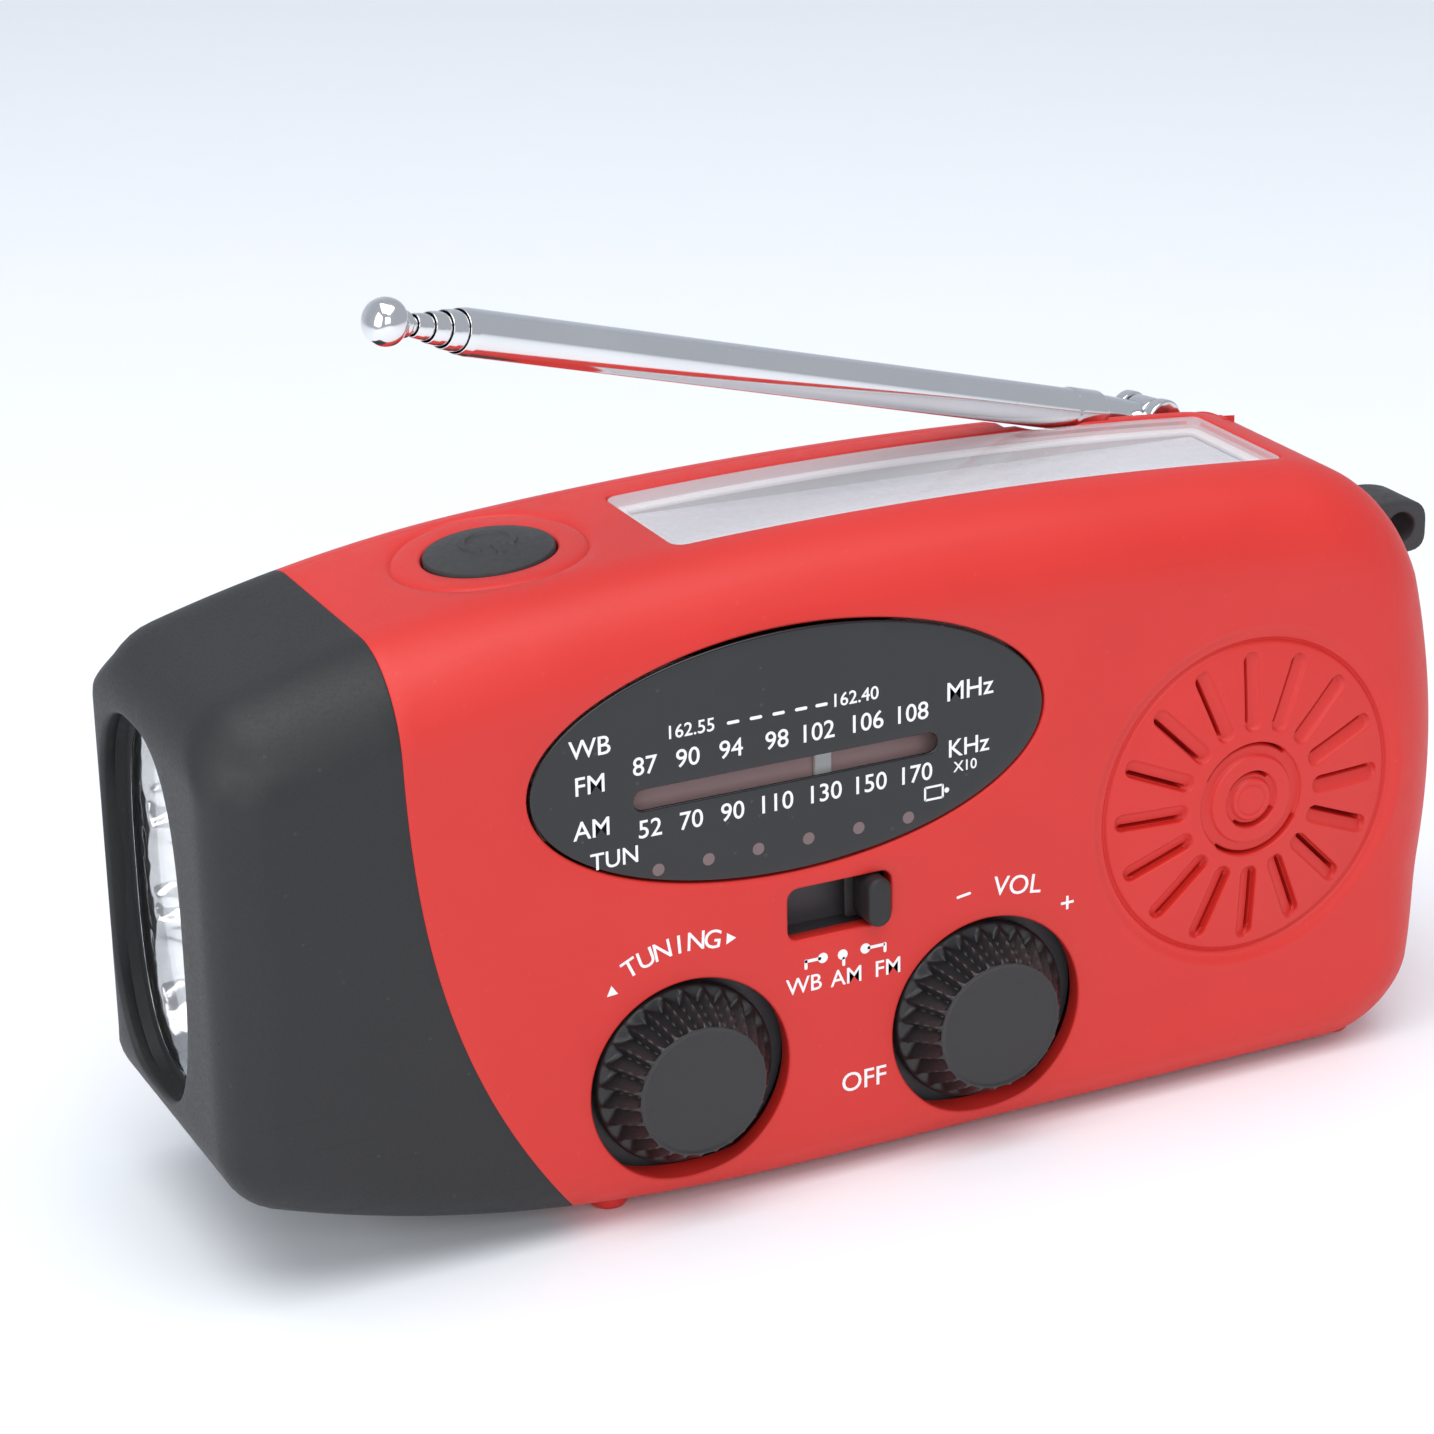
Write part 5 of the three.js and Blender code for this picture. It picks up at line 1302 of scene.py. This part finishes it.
def wear_group():
    """Uneven tone, fine grain, long faint scratches and dust, from a place on the piece in metres."""
    tree = bpy.data.node_groups.new("wear", "ShaderNodeTree")
    tree.interface.new_socket("Place", in_out="INPUT", socket_type="NodeSocketVector")
    tree.interface.new_socket("Grain size", in_out="INPUT", socket_type="NodeSocketFloat")
    for name in ("Tone", "Grain", "Scratches", "Dust"):
        tree.interface.new_socket(name, in_out="OUTPUT", socket_type="NodeSocketFloat")
    put, out = add(tree, "NodeGroupInput"), add(tree, "NodeGroupOutput")
    place = put.outputs["Place"]
    tone = add(tree, "ShaderNodeTexNoise", {"Vector": place, "Scale": 70.0, "Detail": 3.0})
    grain = add(tree, "ShaderNodeTexNoise",
        {"Vector": place, "Scale": put.outputs["Grain size"], "Detail": 2.0})
    bent = add(tree, "ShaderNodeMapping",
        {"Vector": place, "Rotation": (0.4, 0.7, 0.3), "Scale": (30.0, 1400.0, 1400.0)})
    lines = add(tree, "ShaderNodeTexNoise", {"Vector": bent.outputs[0], "Scale": 1.0, "Detail": 2.0})
    thin = add(tree, "ShaderNodeMapRange", {"Value": lines.outputs[0], "From Min": 0.68, "From Max": 0.76})
    specks = add(tree, "ShaderNodeTexVoronoi", {"Vector": place, "Scale": 420.0, "Randomness": 1.0})
    dots = add(tree, "ShaderNodeMapRange",
        {"Value": specks.outputs["Distance"], "From Min": 0.09, "From Max": 0.05})
    for name, socket in (("Tone", tone.outputs[0]), ("Grain", grain.outputs[0]),
                         ("Scratches", thin.outputs[0]), ("Dust", dots.outputs[0])):
        tree.links.new(socket, out.inputs[name])
    return tree


WEAR = wear_group()


def finish(name, dark, light, rough, metal=0.0, grain=3000.0, bump=0.02, scratches=0.1, coat=0.0,
           through=0.0, alpha=1.0, ior=1.5, dust=0.0):
    """A finish between two colours, with roughness between two values and fine grain in relief."""
    material = bpy.data.materials.new(name)
    material.use_nodes = True
    tree = material.node_tree
    tree.nodes.clear()
    place = add(tree, "ShaderNodeTexCoord")
    wear = add(tree, "ShaderNodeGroup", node_tree=WEAR)
    tree.links.new(place.outputs["Object"], wear.inputs["Place"])
    wear.inputs["Grain size"].default_value = grain
    mixed = add(tree, "ShaderNodeMix", data_type="RGBA")
    tree.links.new(wear.outputs["Tone"], mixed.inputs["Factor"])
    mixed.inputs[6].default_value, mixed.inputs[7].default_value = (*dark, 1), (*light, 1)
    dusty = add(tree, "ShaderNodeMath", {0: wear.outputs["Dust"], 1: dust}, operation="MULTIPLY")
    spotted = add(tree, "ShaderNodeMix", data_type="RGBA")
    tree.links.new(dusty.outputs[0], spotted.inputs["Factor"])
    tree.links.new(mixed.outputs[2], spotted.inputs[6])
    spotted.inputs[7].default_value = (0.62, 0.6, 0.58, 1)
    polish = add(tree, "ShaderNodeMapRange", {"Value": wear.outputs["Grain"], "From Min": 0.25,
        "From Max": 0.75, "To Min": rough[0], "To Max": rough[1]})
    worn = add(tree, "ShaderNodeMath", {0: wear.outputs["Scratches"], 1: scratches, 2: polish.outputs[0]},
               operation="MULTIPLY_ADD", use_clamp=True)
    relief = add(tree, "ShaderNodeBump",
        {"Height": wear.outputs["Grain"], "Strength": 1.0, "Distance": bump * MM})
    surface = add(tree, "ShaderNodeBsdfPrincipled", {"Base Color": spotted.outputs[2],
        "Roughness": worn.outputs[0], "Normal": relief.outputs[0], "Metallic": metal, "IOR": ior,
        "Coat Weight": coat, "Coat Roughness": 0.08, "Transmission Weight": through, "Alpha": alpha})
    output = add(tree, "ShaderNodeOutputMaterial")
    tree.links.new(surface.outputs[0], output.inputs["Surface"])
    return material


FINISH = {
    "red_shell": finish(
        "red soft-touch", (0.58, 0.018, 0.012), (0.64, 0.025, 0.018), (0.45, 0.53),
        grain=4200.0, bump=0.006, scratches=0.06, dust=0.02),
    "black_soft": finish(
        "black soft-touch", (0.009, 0.009, 0.010), (0.014, 0.014, 0.015), (0.5, 0.62),
        grain=3800.0, bump=0.01, scratches=0.08, dust=0.02),
    "black_rubber": finish(
        "mottled rubber", (0.022, 0.022, 0.023), (0.050, 0.049, 0.050), (0.55, 0.75),
        grain=1500.0, bump=0.05, scratches=0.0, dust=0.03),
    "clear_plastic": finish(
        "clear plastic", (0.97, 0.97, 0.98), (1.0, 1.0, 1.0), (0.03, 0.08),
        grain=900.0, bump=0.002, through=1.0, ior=1.46),
    "dial_gloss": finish(
        "gloss black", (0.004, 0.004, 0.005), (0.007, 0.007, 0.008), (0.07, 0.14),
        grain=1800.0, bump=0.002, coat=0.15, dust=0.03),
    "chrome": finish(
        "chrome", (0.72, 0.72, 0.73), (0.82, 0.82, 0.82), (0.06, 0.13),
        metal=1.0, grain=700.0, bump=0.002, scratches=0.2),
    "steel": finish(
        "plated steel", (0.45, 0.46, 0.48), (0.58, 0.58, 0.6), (0.25, 0.4),
        metal=1.0, grain=2600.0, bump=0.01, scratches=0.3),
    "circuit_board": finish(
        "green lacquered board", (0.01, 0.09, 0.04), (0.02, 0.16, 0.07), (0.3, 0.45),
        grain=600.0),
    "solar_cells": finish(
        "cells under milky resin", (0.48, 0.45, 0.49), (0.66, 0.63, 0.66), (0.2, 0.35),
        grain=500.0, bump=0.01, coat=0.6),
    "printed_plate": finish(
        "printed dial plate", (0.66, 0.44, 0.44), (0.72, 0.50, 0.50), (0.45, 0.6),
        grain=1200.0),
    "white_plastic": finish(
        "white plastic", (0.9, 0.9, 0.89), (0.96, 0.96, 0.95), (0.35, 0.5),
        grain=2000.0),
    "grey_plastic": finish(
        "grey plastic", (0.045, 0.045, 0.05), (0.075, 0.075, 0.08), (0.4, 0.55),
        grain=2400.0),
    "brass": finish("brass", (0.62, 0.42, 0.14), (0.72, 0.5, 0.2), (0.2, 0.35), metal=1.0, grain=1400.0),
    "copper": finish(
        "wound copper", (0.6, 0.24, 0.1), (0.72, 0.32, 0.15), (0.3, 0.45),
        metal=1.0, grain=5200.0, bump=0.06),
    "ferrite": finish(
        "ferrite", (0.03, 0.03, 0.032), (0.05, 0.048, 0.046), (0.55, 0.7),
        grain=2600.0, bump=0.03),
    "speaker_paper": finish(
        "loudspeaker paper", (0.05, 0.045, 0.04), (0.09, 0.08, 0.07), (0.8, 0.95),
        grain=2200.0, bump=0.06),
    "battery_wrap": finish(
        "battery wrap", (0.03, 0.16, 0.10), (0.05, 0.24, 0.15), (0.25, 0.4),
        grain=900.0),
}
PRINT = finish("white print", (0.80, 0.80, 0.79), (0.9, 0.9, 0.89), (0.4, 0.55), grain=5000.0, bump=0.002)
KNOB_FINISH = finish(
    "moulded black", (0.012, 0.012, 0.013), (0.02, 0.02, 0.021), (0.28, 0.4),
    grain=3200.0, bump=0.01, scratches=0.12)
# Near-white base at partial alpha over the solar cells: a painted reflection, a white haze that stands in
# for the cover's reflections instead of transmission.
PAINTED_SHEEN_RESIN = finish(
    "resin with painted sheen", (0.86, 0.85, 0.88), (0.95, 0.94, 0.96), (0.06, 0.14),
    grain=420.0, bump=0.004, coat=0.6, alpha=0.34)
DOT_PRINT = finish(
    "brown print", (0.15, 0.10, 0.10), (0.19, 0.13, 0.13), (0.4, 0.55),
    grain=5000.0, bump=0.002)
REFLECTOR = finish(
    "metallised plastic", (0.80, 0.80, 0.81), (0.9, 0.9, 0.9), (0.05, 0.12),
    metal=1.0, grain=900.0, bump=0.01)

slots = {part["node"]: part["material_slot"] for part in frame["record"]["subparts"]}
for node, thing in frame["nodes"].items():
    thing.data.materials.clear()
    thing.data.materials.append(FINISH[slots[node]])


def piece(name, skin, body, slot, *nodes, material=None, sharp=35.0):
    """A skin on a body, in the finish of its slot unless another is given."""
    return make(name, skin, body, nodes, material or FINISH[slot], sharp)


piece("front_case", front_shell(), "case", "red_shell", "front_shell", sharp=50.0)
piece("grille_disc", grille(), "case", "red_shell", "front_shell", sharp=75.0)
piece("rear_case", rear_shell(), "case", "red_shell", "rear_shell", sharp=50.0)
piece("antenna_pocket", well(), "case", "red_shell")
piece("case_feet", feet([(50, -14.5), (-28, -14.5), (50, 10), (-28, 10)]), "case", "red_shell")
piece("torch_housing", torch_head(), "case", "black_soft", "torch_head", sharp=50.0)
piece("torch_bezel", bezel(), "case", "black_soft", sharp=40.0)
piece("torch_window", lens(), "case", "clear_plastic", "torch_lens")
piece("torch_reflector", reflector(), "case", "chrome", "reflector", material=REFLECTOR, sharp=60.0)
piece("dial_face", dial(), "case", "dial_gloss", "dial_window")
piece("dial_lettering", dial_print(), "case", "white_plastic", material=PRINT)
piece("dial_spots", dial_dots(), "case", "printed_plate", material=DOT_PRINT)
piece("case_lettering", face_print(), "case", "white_plastic", material=PRINT)
# The solar cover's white haze is a painted reflection.
piece("solar_glass", solar_window(), "case", "clear_plastic", "solar_cover", material=PAINTED_SHEEN_RESIN)
piece("solar_rim", solar_frame(), "case", "white_plastic")
piece("button_dome", torch_button(), "button", "black_rubber", "torch_button", sharp=50.0)
piece("tuning_cap", knob(TUNING), "tuning", "black_soft", "tuning_knob", material=KNOB_FINISH, sharp=50.0)
piece("volume_cap", knob(VOLUME), "volume", "black_soft", "volume_knob", material=KNOB_FINISH, sharp=50.0)
piece("band_tab", slider(), "band", "black_soft", "band_slider", sharp=45.0)
piece("strap_loop", lug(), "case", "black_rubber", "strap_lug", sharp=45.0)
for number, place in enumerate(SCREWS, 1):
    piece("screw_%d" % number, screw(place, SCREW_LOW, SCREW_HIGH, 2.4, -4.0), "case", "steel",
        "case_screw_%d" % number)
piece("crank_lever", crank_arm(), "crank", "black_soft", "crank_arm", sharp=45.0)
piece("crank_bolt", screw(CRANK, 18.5, 19.9, 3.0, 18.5), "crank", "steel", "crank_screw")
piece("grip", grip_sleeve(), "grip", "black_soft", "grip_sleeve", sharp=50.0)
piece("port_flap", flap(), "flap", "black_rubber", "port_cover")
for name, place in (("tuning_well", TUNING), ("volume_well", VOLUME)):
    cup = plate([circle(*place, 10.6, 90), circle(*place, 4.2, 60)], -16.4, -16.8, 0.1, facing_front)
    piece(name, cup, "case", "grey_plastic")
piece("port_plate", port_floor(), "case", "grey_plastic")
piece("antenna_foot", pocket_antenna_foot(), "antenna_foot", "chrome", "antenna_base")
piece("antenna_outer", first_tube(), "antenna_1", "chrome", "antenna_tube_1", sharp=40.0)
for k in (1, 2, 3):
    piece("antenna_inner_%d" % k, inner_tube(k), "antenna_%d" % (k + 1), "chrome",
        "antenna_tube_%d" % (k + 1), sharp=40.0)
piece("antenna_end", antenna_knob(), "antenna_end", "chrome", "antenna_tip", sharp=40.0)


# ---- stage, lights and camera ----
def sweep():
    """Floor that turns up into a backdrop far behind, a quarter circle of the distance."""
    angle = np.linspace(0, math.pi / 2, 24)
    y = np.concatenate([[-1.6], 0.9 + 0.5 * np.sin(angle), [1.4]])
    z = np.concatenate([[0.0], 0.5 * (1 - np.cos(angle)), [2.2]])
    x = np.array([-2.6, 2.6])
    points = np.stack(np.broadcast_arrays(x[None, :], y[:, None], z[:, None]), -1)
    faces = [(2 * k, 2 * k + 1, 2 * k + 3, 2 * k + 2) for k in range(len(y) - 1)]
    mesh = bpy.data.meshes.new("sweep")
    mesh.from_pydata(points.reshape(-1, 3).tolist(), [], faces)
    mesh.polygons.foreach_set("use_smooth", np.ones(len(faces), bool))
    return mesh


floor = bpy.data.objects.new("studio_sweep", sweep())
floor.data.materials.append(finish("pale paper", (0.90, 0.925, 0.95), (0.92, 0.94, 0.965), (0.6, 0.7),
    grain=800.0, bump=0.0))
bpy.context.scene.collection.objects.link(floor)

world = bpy.data.worlds.new("studio")
bpy.context.scene.world = world
world.use_nodes = True
world.node_tree.nodes["Background"].inputs["Color"].default_value = (0.86, 0.91, 1.0, 1)
world.node_tree.nodes["Background"].inputs["Strength"].default_value = 0.56


def lamp(name, place, aim, size, power):
    """Rectangular light at a place, turned towards a point."""
    light = bpy.data.lights.new(name, "AREA")
    light.shape, light.size, light.size_y, light.energy = "RECTANGLE", size[0], size[1], power
    thing = bpy.data.objects.new(name, light)
    bpy.context.scene.collection.objects.link(thing)
    thing.location = place
    away = Vector(place) - Vector(aim)
    thing.rotation_euler = away.to_track_quat("Z", "Y").to_euler()


lamp("top_box", (-0.1, -0.15, 0.8), (0, 0, 0.03), (0.9, 0.7), 5.4)
lamp("front_box", (-0.3, -0.9, 0.45), (0, 0, 0.03), (0.7, 0.5), 2.7)
lamp("left_box", (-0.9, -0.1, 0.35), (0, 0, 0.03), (0.5, 0.5), 1.8)

lens_data = bpy.data.cameras.new("camera")
lens_data.sensor_width, lens_data.lens = 36.0, 101.83
lens_data.clip_start, lens_data.clip_end = 0.01, 20.0
camera = bpy.data.objects.new("camera", lens_data)
RIGHT = Vector((0.89970, -0.43615, -0.01789))
UP = Vector((0.17426, 0.32129, 0.93082))
BEHIND = Vector((-0.40023, -0.84056, 0.36507))
EYE = Vector((-0.15886, -0.31430, 0.17537))
camera.matrix_world = Matrix((
    (RIGHT.x, UP.x, BEHIND.x, EYE.x), (RIGHT.y, UP.y, BEHIND.y, EYE.y),
    (RIGHT.z, UP.z, BEHIND.z, EYE.z), (0, 0, 0, 1)))
bpy.context.scene.collection.objects.link(camera)
bpy.context.scene.camera = camera
bpy.context.scene.view_settings.view_transform = "Standard"
